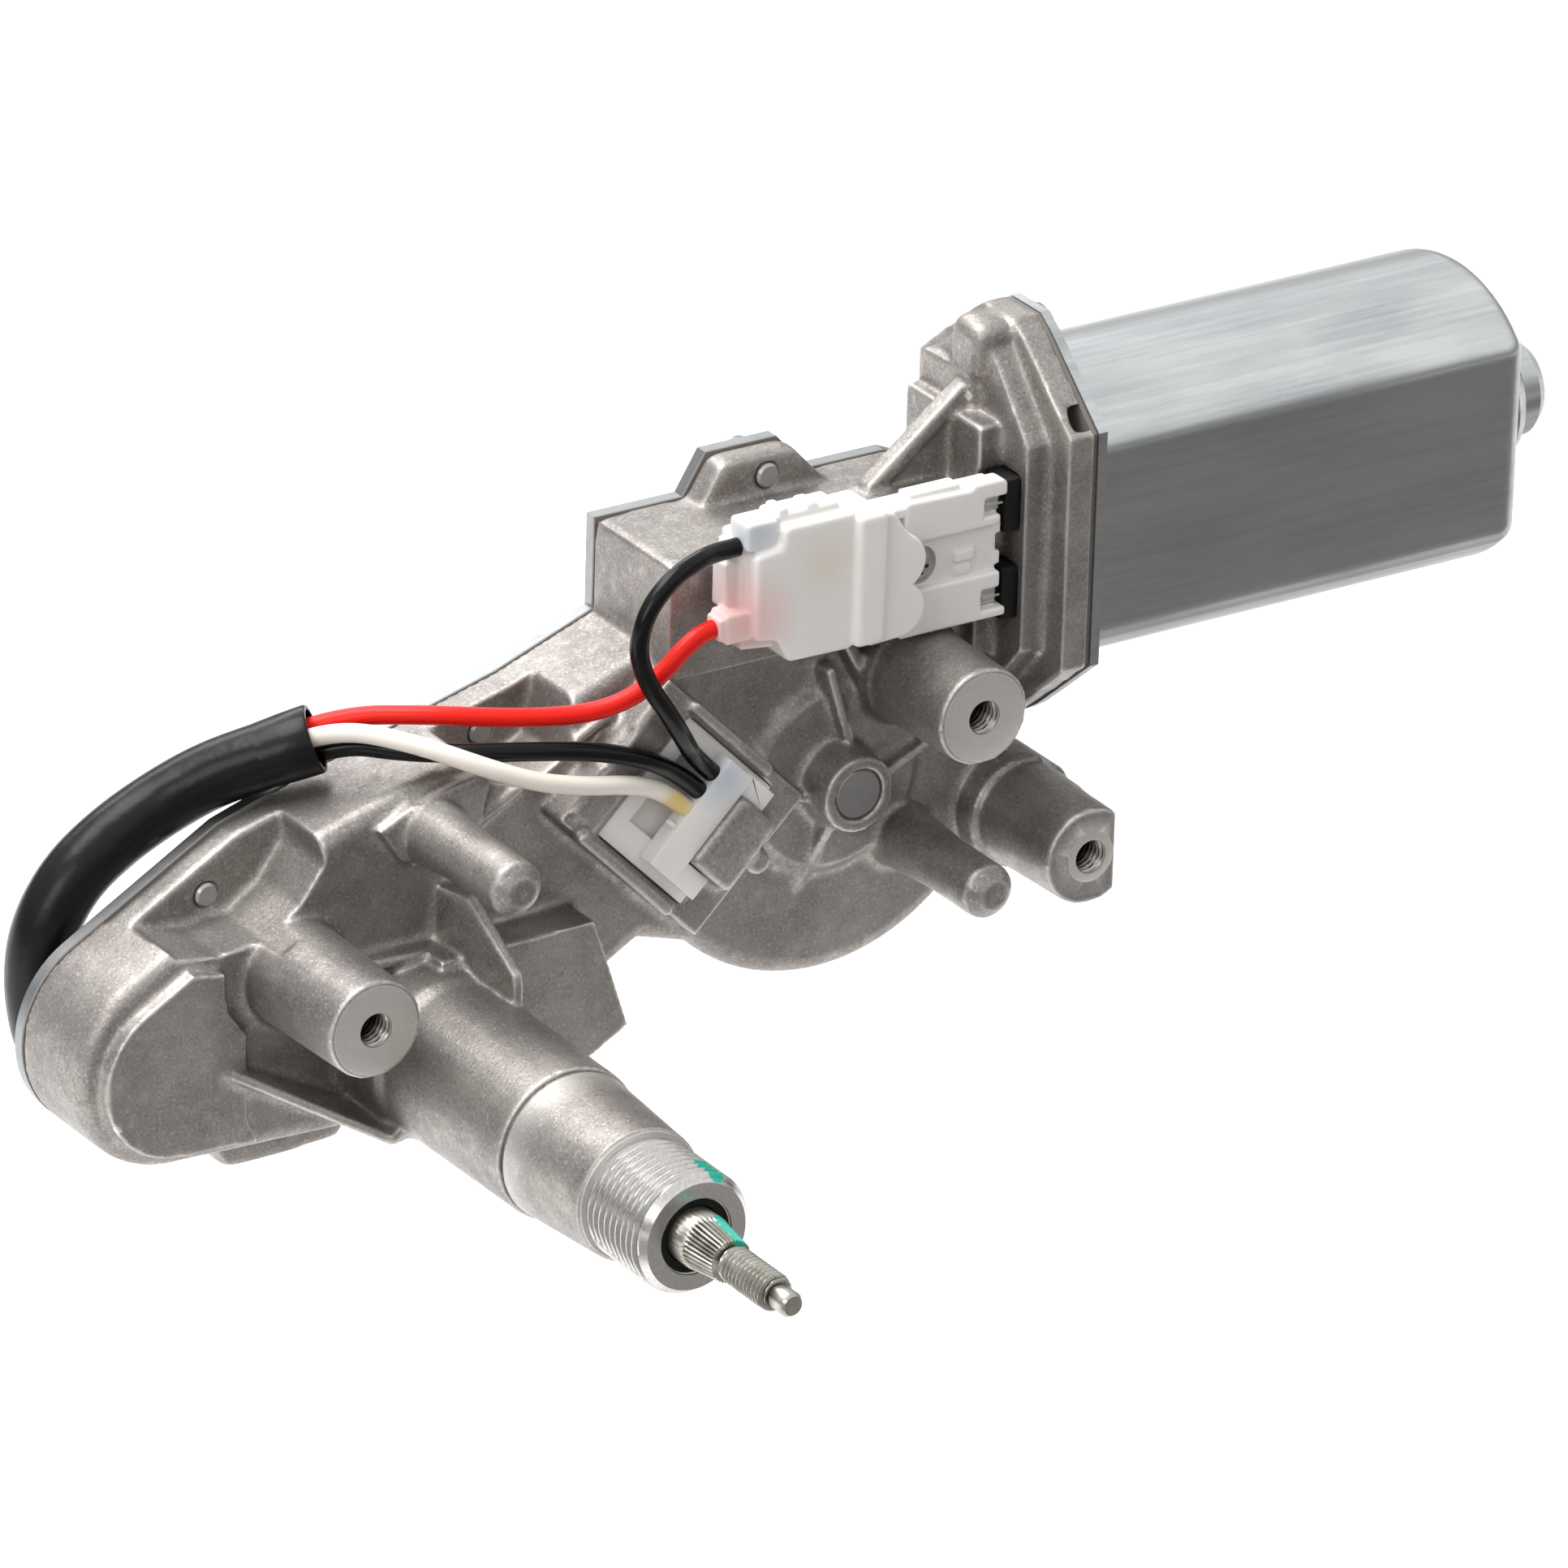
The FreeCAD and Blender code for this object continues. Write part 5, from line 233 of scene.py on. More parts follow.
def cut_thread():
    """A tapped thread: bright crests, with painted shade in the roots and painted shade that deepens towards
    the bottom of the hole.
    """
    material = new_material("cut_aluminium_thread", Metallic=0.95, Roughness=0.32)
    base = tinted(material, rgb("a8a19a"), rgb("d6d1cc"), mottle(material, 2.0))
    # Painted shade in the roots of the thread.
    base = painted_root_shade(material, base, "1c1a19")
    # Painted shade, darker towards the bottom of the hole.
    depth = add(material, "ShaderNodeSeparateXYZ", {0: place_on(material)}, "Y")
    return finished(material, tinted(material, base, rgb("141312"), depth, 40.6, 44.6, 0.97))


def marked_metal(name, light, dark, roughness, grain, mark):
    """A turned metal with clear highlights, painted shade in its roots and a dab of green paint along Y."""
    material = new_material(name)
    base = tinted(material, rgb(dark), rgb(light), mottle(material, grain), 0.35, 0.65)
    # Painted shade in the roots of threads and serrations.
    base = painted_root_shade(material, base, "3a3835")
    painted = painted_mark(material, *mark)
    metallic = add(material, "ShaderNodeMapRange", run(painted, 0.0, 1.0, 0.95, 0.0))
    feed(material, shader_input(material, "Metallic"), metallic)
    rough = add(material, "ShaderNodeMapRange", run(painted, 0.0, 1.0, roughness, 0.45))
    return finished(material, tinted(material, base, rgb(MARK_GREEN), painted), rough)


def drawn_zinc():
    """Deep-drawn and zinc-plated: streaks along the motor's axis, cloudy zinc, painted shade on faces turned
    from above, darker beneath.
    """
    material = new_material("zinc_plated_drawn_steel", Metallic=0.96)
    streaks = mottle(material, 1.3, detail=5.0, roughness=0.65, stretch=(0.03, 1, 1))
    clouds = mottle(material, 12.0, detail=4.0, roughness=0.55, stretch=(0.3, 1, 1))
    both = add(material, "ShaderNodeMix", {0: 0.6, 2: streaks, 3: clouds})
    base = tinted(material, rgb("b2b5b7"), rgb("dadddd"), both, 0.38, 0.62)
    speck = mottle(material, 0.8, detail=2.0, roughness=0.7, stretch=(0.2, 1, 1))
    base = tinted(material, base, rgb("dfe2e3"), speck, 0.66, 0.8, 0.5)
    # A darker copy of the zinc, for painted shade.
    painted_side_shade = tinted(material, rgb("97989a"), rgb("aeafb0"), both, 0.38, 0.62)
    normal = add(material, "ShaderNodeNewGeometry", output="Normal")
    upward = add(material, "ShaderNodeSeparateXYZ", {0: normal}, "Z")
    # Painted shade on faces that turn away from above, and darker painted shade on faces underneath.
    base = tinted(material, base, painted_side_shade, upward, 0.45, 0.05)
    base = tinted(material, base, rgb("4c4d50"), upward, -0.1, -0.6, 0.8)
    rough = add(material, "ShaderNodeMapRange", run(both, 0.35, 0.65, 0.38, 0.27))
    return finished(material, base, rough, clouds, 0.05, 0.3)


def plain_metal(name, light, dark, roughness, metallic=0.95, grain=2.0):
    """A metal that is a little uneven in colour."""
    material = new_material(name, Metallic=metallic, Roughness=roughness)
    return finished(material, tinted(material, rgb(dark), rgb(light), mottle(material, grain)))


def plastic(name, colour, roughness=0.4, glow=0.0, index=1.5):
    """A moulded plastic or rubber. Glow is how much light goes through its skin."""
    material = new_material(name, Base_Color=rgb(colour), Roughness=roughness, IOR=index)
    feed(material, shader_input(material, "Subsurface Weight"), glow)
    feed(material, shader_input(material, "Subsurface Radius"), (1.2 * MM, 1.1 * MM, 1.0 * MM))
    feed(material, shader_input(material, "Subsurface Scale"), 1.0)
    return material


def milky_nylon():
    """Unfilled nylon: milky, and tinted where a wire or the metal behind shows through."""
    base = "e6e3e0"
    material = plastic("milky_nylon", base, roughness=0.36, glow=0.25)
    base = rgb(base)
    for point, reach, colour, most in (
        ((50.0, 52.5, 62.5), 10.0, "e9b2ae", 0.8),
        ((52.0, 53.0, 77.0), 4.5, "b9c6d2", 0.8),
        ((49.0, 54.5, 35.5), 6.0, "aebccb", 0.7),
        ((63.5, 50.0, 70.0), 7.0, "ded5c8", 0.7),
    ):
        base = tinted(material, base, rgb(colour), near(material, point, reach, reach - 1.0), most=most)
    return finished(material, base)


def black_sleeve():
    """Soft vinyl tube: near black, with long wavy highlights."""
    material = plastic("black_vinyl_sleeve", "0c0d10", roughness=0.3, index=1.33)
    return finished(material, rgb("0c0d10"), relief=mottle(material, 6.0), depth=0.6, strength=0.4)


def cream_wire():
    """Cream insulation, yellowed where it enters the switch plug."""
    cream = "e8e0d6"
    material = plastic("cream_insulation", cream, roughness=0.4, glow=0.1)
    yellowed = near(material, (40.5, 54.5, 32.5), 4.2, 2.5)
    return finished(material, tinted(material, rgb(cream), rgb("d8b83c"), yellowed, most=0.75))


# Place (x, z), width, front and back of each dab of green paint.
SPINDLE_MARK = (2.0, 3.2, 1.6, -26.5, -17.5)
NOSE_MARK = (4.0, 8.9, 1.6, -15.6, -9.0)

MATERIALS = {
    "cast_aluminium": cast_aluminium(),
    # Zinc plating: pale and cool grey with soft highlights, a little warmer on the spindle.
    "zinc_can": drawn_zinc(),
    "zinc_spindle": marked_metal("zinc_plated_spindle", "c6c4bb", "a5a399", 0.3, 3.0, SPINDLE_MARK),
    "zinc_sheet": plain_metal("zinc_plated_sheet", "a6a8a9", "8c8e90", 0.38),
    "zinc_screw": plain_metal("zinc_plated_screw", "c2c4c4", "a4a6a4", 0.3),
    # Ground steel: even grey and clear highlights.
    "ground_steel": plain_metal("ground_steel", "b4b4b4", "98989a", 0.28),
    # Inside the motor: dull dark ferrite, grey stacked sheet, brown-red enamel and bright turned copper.
    "ferrite": plain_metal("sintered_ferrite", "3c3c40", "2a2a2d", 0.6, metallic=0.2),
    "core_steel": plain_metal("stacked_core_sheet", "75757a", "5a5a5e", 0.45),
    "copper_wire": plain_metal("enamelled_copper", "b5662f", "8a4620", 0.3, grain=0.5),
    "copper_bars": plain_metal("turned_copper", "d08a5c", "b8744a", 0.25),
    # Sintered bronze: matt and golden. Tinned brass: almost white and shiny.
    "bronze": plain_metal("sintered_bronze", "b28a4e", "90703e", 0.4),
    "tinned_brass": plain_metal("tinned_brass", "d6d5d0", "b6b5ae", 0.22),
    # Moulded resins: light goes a little way in, so their edges look soft.
    "milky_nylon": milky_nylon(),
    "white_nylon": plastic("white_nylon", "e6e6e3", glow=0.2),
    "wheel_resin": plastic("acetal_resin", "e2dcc8", glow=0.2),
    # Pressed card and carbon: matt.
    "brown_card": plastic("phenolic_card", "6b4a2d", roughness=0.6),
    "carbon": plastic("pressed_carbon", "242426", roughness=0.55),
    # Rubber is dull, and the wires' vinyl has narrow highlights.
    "black_rubber": plastic("black_rubber", "0b0b0c", roughness=0.5, index=1.36),
    "black_sleeve": black_sleeve(),
    "red_wire": plastic("red_insulation", "e01406", roughness=0.36, index=1.36),
    "black_wire": plastic("black_insulation", "070707", roughness=0.24, index=1.33),
    "cream_wire": cream_wire(),
}
# The turned nose: brighter than the casting, with clear highlights.
MACHINED = marked_metal("machined_aluminium", "dcdad8", "cbc8c6", 0.24, 0.5, NOSE_MARK)
CUT_THREAD = cut_thread()
# Gasket sheet: matt, and as grey as the casting that it lies on.
GASKET_SHEET = plastic("gasket_sheet", "77726d", roughness=0.7)


def paint_nodes():
    for part in frame["record"]["subparts"]:
        mesh = NODES[part["node"]].data
        mesh.materials.clear()
        mesh.materials.append(MATERIALS[part["material_slot"]])
    for node in ("cover_gasket", "flange_gasket"):
        NODES[node].data.materials[0] = GASKET_SHEET


def finish_piece(piece, slot, body="housing", node=None, material=None):
    """Gives a modelled piece its material, from its slot unless one is given, puts it in its body and hides
    the node that it stands for.
    """
    piece.data.materials.clear()
    piece.data.materials.append(material or MATERIALS[slot])
    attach(piece, body)
    if node:
        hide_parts(node)
    return piece


def only(piece):
    bpy.ops.object.select_all(action="DESELECT")
    piece.select_set(True)
    bpy.context.view_layer.objects.active = piece


def modified(piece, kind, **settings):
    """Adds a modifier and applies it."""
    only(piece)
    modifier = piece.modifiers.new(kind.lower(), kind)
    for name, setting in settings.items():
        setattr(modifier, name, setting)
    bpy.ops.object.modifier_apply(modifier=modifier.name)


def shade(piece, degrees=35):
    only(piece)
    bpy.ops.object.shade_smooth_by_angle(angle=math.radians(degrees))


def edited(piece, *steps_taken):
    """Runs operators on the whole of a piece in edit mode. Each is an operator with its settings."""
    only(piece)
    bpy.ops.object.mode_set(mode="EDIT")
    for operator, settings in steps_taken:
        bpy.ops.mesh.select_all(action="SELECT")
        operator(**settings)
    bpy.ops.object.mode_set(mode="OBJECT")
    return piece


FACE_OUT = (bpy.ops.mesh.normals_make_consistent, {"inside": False})


def plate(name, outline, front, back, round_edge=0.4):
    """A plate with corners (x, z), extruded between two depths, with rounded edges."""
    bpy.ops.mesh.primitive_circle_add(vertices=len(outline), fill_type="NGON")
    piece = bpy.context.object
    piece.name = name
    for vertex, (x, z) in zip(piece.data.vertices, outline):
        vertex.co = mm(x, front, z)
    move = {"value": (0, (back - front) * MM, 0)}
    edited(piece, (bpy.ops.mesh.extrude_region_move, {"TRANSFORM_OT_translate": move}), FACE_OUT)
    if round_edge:
        limit = math.radians(30)
        modified(piece, "BEVEL", width=round_edge * MM, segments=3, limit_method="ANGLE", angle_limit=limit)
    return piece


def block(name, low, high, round_edge=0.4):
    corners = [(low[0], low[2]), (high[0], low[2]), (high[0], high[2]), (low[0], high[2])]
    return plate(name, corners, low[1], high[1], round_edge)


def joined(name, pieces):
    bpy.ops.object.select_all(action="DESELECT")
    for piece in pieces:
        piece.select_set(True)
    bpy.context.view_layer.objects.active = pieces[0]
    bpy.ops.object.join()
    pieces[0].name = name
    return pieces[0]


def cut_away(piece, tool):
    """Takes a closed tool out of a closed piece."""
    modified(piece, "BOOLEAN", operation="DIFFERENCE", object=tool, solver="EXACT")
    bpy.data.objects.remove(tool)
    return piece


MERGE_REACH = 0.001


def lathe(name, heights, outer, inner=None, around=64, axis=(0.0, 0.0)):
    """A round piece along Y through (x, z), of radius outer(turn, y), with a turn from 0 to 1.

    It is a grid rolled round the axis and merged where its edges meet. With inner(turn, y) it has a bore.
    """
    rings = [(height, outer) for height in heights]
    if inner:
        rings += [(height, inner) for height in reversed(heights)] + [rings[0]]
    bpy.ops.mesh.primitive_grid_add(x_subdivisions=around, y_subdivisions=len(rings) - 1)
    piece = bpy.context.object
    piece.name = name
    for index, vertex in enumerate(piece.data.vertices):
        height, radius = rings[index // (around + 1)]
        turn = index % (around + 1) % around / around
        reach = radius(turn, height)
        angle = 2 * math.pi * turn
        vertex.co = mm(axis[0] + reach * math.sin(angle), height, axis[1] + reach * math.cos(angle))
    merge = (bpy.ops.mesh.remove_doubles, {"threshold": MERGE_REACH * MM})
    return edited(piece, merge, (bpy.ops.mesh.fill_holes, {"sides": 0}), FACE_OUT)


def ridge(phase):
    """A triangular wave between 0 and 1, with flat tops and roots."""
    wave = 1 - abs(2 * (phase % 1) - 1)
    return min(1.0, max(0.0, wave * 1.3 - 0.12))


def steps(start, end, size):
    count = max(1, round((end - start) / size))
    return [start + (end - start) * i / count for i in range(count + 1)]


def cad_copy(node, name):
    """A free copy of a CAD node's mesh."""
    piece = NODES[node].copy()
    piece.data = NODES[node].data.copy()
    piece.name = name
    for key in list(piece.keys()):
        del piece[key]
    piece.parent = None
    bpy.context.scene.collection.objects.link(piece)
    modified(piece, "WELD", merge_threshold=0.001 * MM)
    return piece


def soft_edged(node, name, width):
    """A copy of a CAD node with its flat faces merged and its edges rounded."""
    piece = cad_copy(node, name)
    modified(piece, "DECIMATE", decimate_type="DISSOLVE", angle_limit=math.radians(1))
    limit = math.radians(35)
    modified(piece, "BEVEL", width=width * MM, segments=2, limit_method="ANGLE", angle_limit=limit)
    shade(piece)
    return piece


def melted(piece, voxel, smoothing, triangles):
    """Melts overlapping closed forms into one skin, smooths it and thins it out."""
    modified(piece, "REMESH", mode="VOXEL", voxel_size=voxel * MM, use_smooth_shade=True)
    modified(piece, "SMOOTH", factor=0.5, iterations=smoothing)
    thinned(piece, triangles)


def thinned(piece, triangles):
    count = sum(len(face.vertices) - 2 for face in piece.data.polygons)
    if count > triangles:
        modified(piece, "DECIMATE", ratio=triangles / count)


# Cords, along the same corner points as the solids, in millimetres.
WIRE_DIAMETER = 3.0
SLEEVE_DIAMETER = 10.4


def cord(node, points, diameter, slot):
    curve = bpy.data.curves.new(node + "_curve", "CURVE")
    curve.dimensions = "3D"
    spline = curve.splines.new("NURBS")
    spline.points.add(len(points) - 1)
    for control, point in zip(spline.points, points):
        control.co = (*mm(*point), 1.0)
    spline.order_u = 3
    spline.use_endpoint_u = True
    spline.resolution_u = 12
    piece = bpy.data.objects.new(node + "_cord", curve)
    bpy.context.scene.collection.objects.link(piece)
    line = piece.to_mesh()
    piece.to_mesh_clear()
    curve.bevel_depth = diameter / 2 * MM
    curve.bevel_resolution = 8
    curve.use_fill_caps = True
    finish_piece(piece, slot, "housing", node)


# The sleeve's mouth and its direction, and how far the wires lie from its axis there.
MOUTH = Vector((-10.9, 79.2, 45.6))
MOUTH_RUN = Vector((-5.8, 3.6, -2.6))
WIRE_SPREAD = 2.4
SLEEVE_END = Vector((8.0, 90.7, -13.4))
# The park switch lies turned by 45 degrees. Its plug starts 2 mm before the middle of the switch.
SWITCH_CENTRE = Vector((44.5, 56.2, 29.7))
HALF = math.sqrt(0.5)
ALONG_SWITCH = Vector((HALF, 0, -HALF))
ACROSS_SWITCH = Vector((HALF, 0, HALF))
PLUG_FACE = -2.0


def plug_exit(across, length):
    """Where a wire leaves the switch plug, and the end of its first straight run."""
    start = SWITCH_CENTRE + ALONG_SWITCH * PLUG_FACE + ACROSS_SWITCH * across
    return [start, start - ALONG_SWITCH * length]


def mouth_entry(angle, length):
    """The last straight run of a wire, which ends in the sleeve's mouth."""
    onward = MOUTH_RUN.normalized()
    upward = (Vector((0, 0, 1)) - onward * onward.z).normalized()
    sideways = onward.cross(upward)
    turn = math.radians(angle)
    end = MOUTH + (upward * math.cos(turn) + sideways * math.sin(turn)) * WIRE_SPREAD
    return [end - onward * length, end]


def make_cords():
    sleeve = [MOUTH, MOUTH + MOUTH_RUN, (-23.2, 87.5, 39.4), (-30.4, 90.4, 35.0), (-38.2, 91.4, 30.6)]
    sleeve += [(-45.4, 91.4, 25.4), (-50.2, 91.4, 17.4), (-50.8, 91.6, 7.8), (-48.2, 92.2, -2.4)]
    sleeve += [(-41.6, 92.8, -10.2), (-31.6, 93.2, -14.8), (-20.6, 93.4, -16.2), (-10.4, 92.2, -14.8)]
    sleeve += [SLEEVE_END - Vector((9.6, 0, 0)), SLEEVE_END]
    red = [(49.5, 54.0, 61.7), (45.0, 54.0, 61.7), (41.2, 54.0, 59.8), (37.8, 54.6, 56.0), (33.6, 56.0, 52.4)]
    red += [(28.4, 58.0, 50.2), (22.0, 60.6, 49.6), (13.4, 64.2, 50.0), (4.2, 69.2, 50.6)]
    red += mouth_entry(60, 7)
    loop = [(50.0, 54.0, 74.3), (46.2, 54.0, 74.3), (41.4, 52.0, 74.6), (35.6, 50.5, 73.2)]
    loop += [(31.3, 50.2, 69.0), (29.9, 50.4, 63.2), (32.0, 50.8, 57.0), (36.6, 50.8, 50.2)]
    loop += [(40.4, 52.4, 44.6)]
    loop += reversed(plug_exit(7.0, 5.0))
    black = plug_exit(3.6, 5.0) + [(34.6, 54.6, 42.2), (26.3, 56.5, 44.6), (16.2, 59.0, 45.8)]
    black += [(6.4, 62.4, 46.3), (-0.6, 68.8, 45.7)] + mouth_entry(180, 5.5)
    white = plug_exit(0.2, 5.0) + [(32.2, 54.2, 38.6), (23.7, 54.3, 40.1), (14.8, 55.0, 42.6)]
    white += [(6.5, 57.8, 46.2), (-0.6, 64.4, 48.8)] + mouth_entry(-60, 6)
    mouth_piece = make_sleeve_mouth()
    cord("red_wire", red, WIRE_DIAMETER, "red_wire")
    cord("black_loop_wire", loop, WIRE_DIAMETER, "black_wire")
    cord("black_wire", black, WIRE_DIAMETER, "black_wire")
    cord("white_wire", white, WIRE_DIAMETER, "cream_wire")
    cord("harness_sleeve", sleeve, SLEEVE_DIAMETER, "black_sleeve")


def make_sleeve_mouth():
    """The open end of the sleeve, a little wider than the sleeve behind it, and a little flattened."""
    outer_radii = {-1.6: 5.35, -1.2: 5.6, 3.0: 5.5, 7.0: 5.28}
    inner_radii = {-1.6: 4.75, -1.2: 4.75, 3.0: 4.9, 7.0: 5.1}
    widened = 1.04
    flattened = 0.97
    onward = MOUTH_RUN.normalized()
    sideways = onward.cross(Vector((0, 0, 1))).normalized()
    upward = sideways.cross(onward)
    piece = lathe(
        "sleeve_mouth",
        list(outer_radii),
        lambda turn, y: outer_radii[y],
        lambda turn, y: inner_radii[y],
        around=48,
    )
    for vertex in piece.data.vertices:
        across, along, high = vertex.co
        vertex.co = MOUTH * MM + sideways * across * widened + onward * along + upward * high * flattened
    edited(piece, FACE_OUT)
    shade(piece, 50)
    finish_piece(piece, "black_sleeve", "housing", "harness_sleeve")
    return piece


# The casting: its solid with cast edges, filled corners, and room for the cut threads.
CAST_VOXEL = 0.5
CAST_TRIANGLES = 190000
# A corner is rounded until a vertex stands less than this far, in millimetres, from its neighbours' middle.
FILLET_STEPS = 80
INNER_LIMIT = 0.024
CRISP_LIMIT = 0.085
SOFT_LIMIT = 0.022
# Boxes, in millimetres, where the casting's outer corners are well rounded.
SOFT_BOXES = (
    ((55, 73, 69), (83, 86, 79)),         # ear above the box
    ((97, 56, 84), (111.6, 84, 97)),      # upper lobe of the flange
    ((97, 56, 26), (111.6, 84, 40)),      # lower lobe of the flange
    ((99, 46, 76), (111.6, 58, 84)),      # front corner of the flange
    ((-45, 70, 16), (-16, 83, 37)),       # ear on the lobe
    ((-14, 58, 26), (14, 72, 46)),        # foot of the pin on the lobe
    ((-34, 70, -24), (2, 83, -10)),       # ear under the lobe
    ((38, 58, 67), (48, 84, 72)),         # left corner of the box
    ((40, 52.5, 20), (60, 56.5, 40)),     # keeper of the switch
)
TUBE_END_Y = 20.0
TUBE_END_RADIUS = 12.15
TUBE_FRONT_RADIUS = 10.8
TUBE_GROOVE_RADIUS = 11.9
TUBE_GROOVE_LENGTH = 0.7
# The bosses with a cut thread: their axes (x, z), their face and the flat part of it that shows.
BOSSES = ((-22.0, 16.0), (87.0, 43.0), (108.0, 14.5))
BOSS_FACE_RADII = (7.3, 7.3, 4.2)
BOSS_FACE_Y = 40.0
BOSS_FACE_RISE = 0.07
THREAD_MAJOR_R = 3.0
THREAD_MINOR_R = 2.5
THREAD_PITCH = 1.0
THREAD_LENGTH = 12.6
NOSE_TIP_Y = -15.5
NOSE_RADIUS = 10.0
NOSE_PITCH = 1.5
NOSE_THREAD_DEPTH = 0.85
NOSE_TIP_RADIUS = 8.7
NOSE_ROOT_RADIUS = 9.6
NOSE_ROOT_LENGTH = 1.0
NOSE_BORE_RADIUS = 6.0


def switch_place(along, across):
    """The place (x, z) of a point in the switch's own directions."""
    return SWITCH_CENTRE.x + (along + across) * HALF, SWITCH_CENTRE.z + (across - along) * HALF


def switch_plate(name, along, across, front, back, round_edge):
    corners = ((along[0], across[0]), (along[1], across[0]), (along[1], across[1]), (along[0], across[1]))
    return plate(name, [switch_place(*corner) for corner in corners], front, back, round_edge)


def soften_corners(piece):
    """Gives inner corners a wide cast radius and outer ones a small one, or a wide one in the soft boxes."""
    data = piece.data
    total = len(data.vertices)
    places = np.empty(total * 3)
    data.vertices.foreach_get("co", places)
    places = places.reshape(-1, 3) / MM
    ends = np.empty(len(data.edges) * 2, dtype=np.int64)
    data.edges.foreach_get("vertices", ends)
    first, second = ends.reshape(-1, 2).T
    shared = np.bincount(first, minlength=total) + np.bincount(second, minlength=total)
    outer_limit = np.full(total, CRISP_LIMIT)
    for low, high in SOFT_BOXES:
        outer_limit[np.all((places > low) & (places < high), axis=1)] = SOFT_LIMIT
    pace = np.full(total, 0.6)
    for x, z in BOSSES:
        beside = np.hypot(places[:, 0] - x, places[:, 2] - z) < THREAD_MAJOR_R + 0.7
        pace[beside & (places[:, 1] < BOSS_FACE_Y + 14)] = 0
    normals = np.empty(total * 3)
    for step in range(FILLET_STEPS):
        if step % 8 == 0:
            data.vertices.foreach_set("co", (places * MM).ravel())
            data.update()
            data.vertices.foreach_get("normal", normals)
            facing = normals.reshape(-1, 3)
        sums = [
            np.bincount(first, places[second, axis], total) + np.bincount(second, places[first, axis], total)
            for axis in range(3)
        ]
        pull = np.stack(sums, axis=1) / shared[:, None] - places
        rise = np.einsum("ij,ij->i", pull, facing)
        change = np.clip(rise - INNER_LIMIT, 0, None) + np.clip(rise + outer_limit, None, 0)
        places += facing * (change * pace)[:, None]
        if step % 20 == 0:
            places += pull * (pace * 0.6)[:, None]
    data.vertices.foreach_set("co", (places * MM).ravel())
    data.update()


def make_casting():
    piece = cad_copy("gear_housing", "casting_skin")
    tools = [lathe("tube_room", [-20, TUBE_END_Y], lambda turn, y: 14.0)]
    for boss in BOSSES:
        depths = [BOSS_FACE_Y - 1, BOSS_FACE_Y + 13]
        tools.append(lathe("bore_room", depths, lambda turn, y: THREAD_MAJOR_R + 0.1, axis=boss))
    cut_away(piece, joined("casting_tools", tools))
    stub = switch_place(15.4, 1.2)
    extras = [
        switch_plate("upper_lip", (-12.8, 8.2), (12.0, 14.0), 56.4, 60.0, 0.5),
        switch_plate("lower_lip", (-14.6, 9.4), (-14.4, -12.4), 56.4, 60.0, 0.5),
        switch_plate("left_lip", (-18.2, -12.2), (-11.8, 11.8), 57.0, 62.0, 0.6),
        switch_plate("keeper_cap", (4.0, 13.2), (-5.8, 7.4), 53.2, 58.0, 0.6),
        lathe("stop_stub", [54.4, 54.9, 60.5], lambda turn, y: 1.7 if y < 54.6 else 2.2, axis=stub),
        block("yoke_knuckle", (100.8, 65.0, 85.6), (108.0, 74.0, 95.4), 2.4),
    ]
    piece = joined("casting_skin", [piece] + extras)
    modified(piece, "REMESH", mode="VOXEL", voxel_size=CAST_VOXEL * MM, use_smooth_shade=True)
    soften_corners(piece)
    thinned(piece, CAST_TRIANGLES)
    finish_piece(piece, "cast_aluminium", "housing", "gear_housing")


def make_tube_end():
    """The turned end of the spindle tube, tapered, behind a fine groove beside the casting."""
    groove = TUBE_END_Y - TUBE_GROOVE_LENGTH

    def skin(turn, y):
        if y > groove:
            return TUBE_GROOVE_RADIUS
        tapered = TUBE_FRONT_RADIUS + (TUBE_END_RADIUS - TUBE_FRONT_RADIUS) * y / TUBE_END_Y
        return tapered - 0.4 * max(0.0, 1 - y / 0.5)

    heights = [0.0, 0.25, 0.5, 1.0, 5.0, 10.0, 15.0, groove - 0.02, groove + 0.02, TUBE_END_Y + 1.0]
    piece = lathe("turned_tube_end", heights, skin, lambda turn, y: 9.0, around=128)
    shade(piece, 30)
    finish_piece(piece, "cast_aluminium", "housing", "gear_housing")


def make_boss_threads():
    """The thread in each boss, and the flat face around it."""
    def crest(turn, y):
        lead_in = max(0.0, 1 - (y - BOSS_FACE_Y) / 1.1)
        depth = (THREAD_MAJOR_R - THREAD_MINOR_R) * (1 - lead_in)
        return THREAD_MAJOR_R - depth * ridge(y / THREAD_PITCH + turn)

    def wall(turn, y):
        return THREAD_MAJOR_R + 0.25

    def mouth(turn, y):
        return THREAD_MAJOR_R - (0.2 if y < BOSS_FACE_Y + 0.2 else 0.35)

    thread_heights = steps(BOSS_FACE_Y + 0.15, BOSS_FACE_Y + THREAD_LENGTH, THREAD_PITCH / 8)
    face_heights = [BOSS_FACE_Y - BOSS_FACE_RISE, BOSS_FACE_Y - 0.02, BOSS_FACE_Y + 0.3]
    for number, (boss, reach) in enumerate(zip(BOSSES, BOSS_FACE_RADII), 1):
        thread = lathe(f"boss_thread_{number}", thread_heights, wall, crest, around=48, axis=boss)
        shade(thread, 50)
        finish_piece(thread, "cast_aluminium", "housing", "gear_housing", CUT_THREAD)

        def rim(turn, y):
            return reach if y > BOSS_FACE_Y - 0.04 else reach - 0.15

        face = lathe(f"boss_face_{number}", face_heights, rim, mouth, axis=boss)
        shade(face, 30)
        finish_piece(face, "cast_aluminium", "housing", "gear_housing")


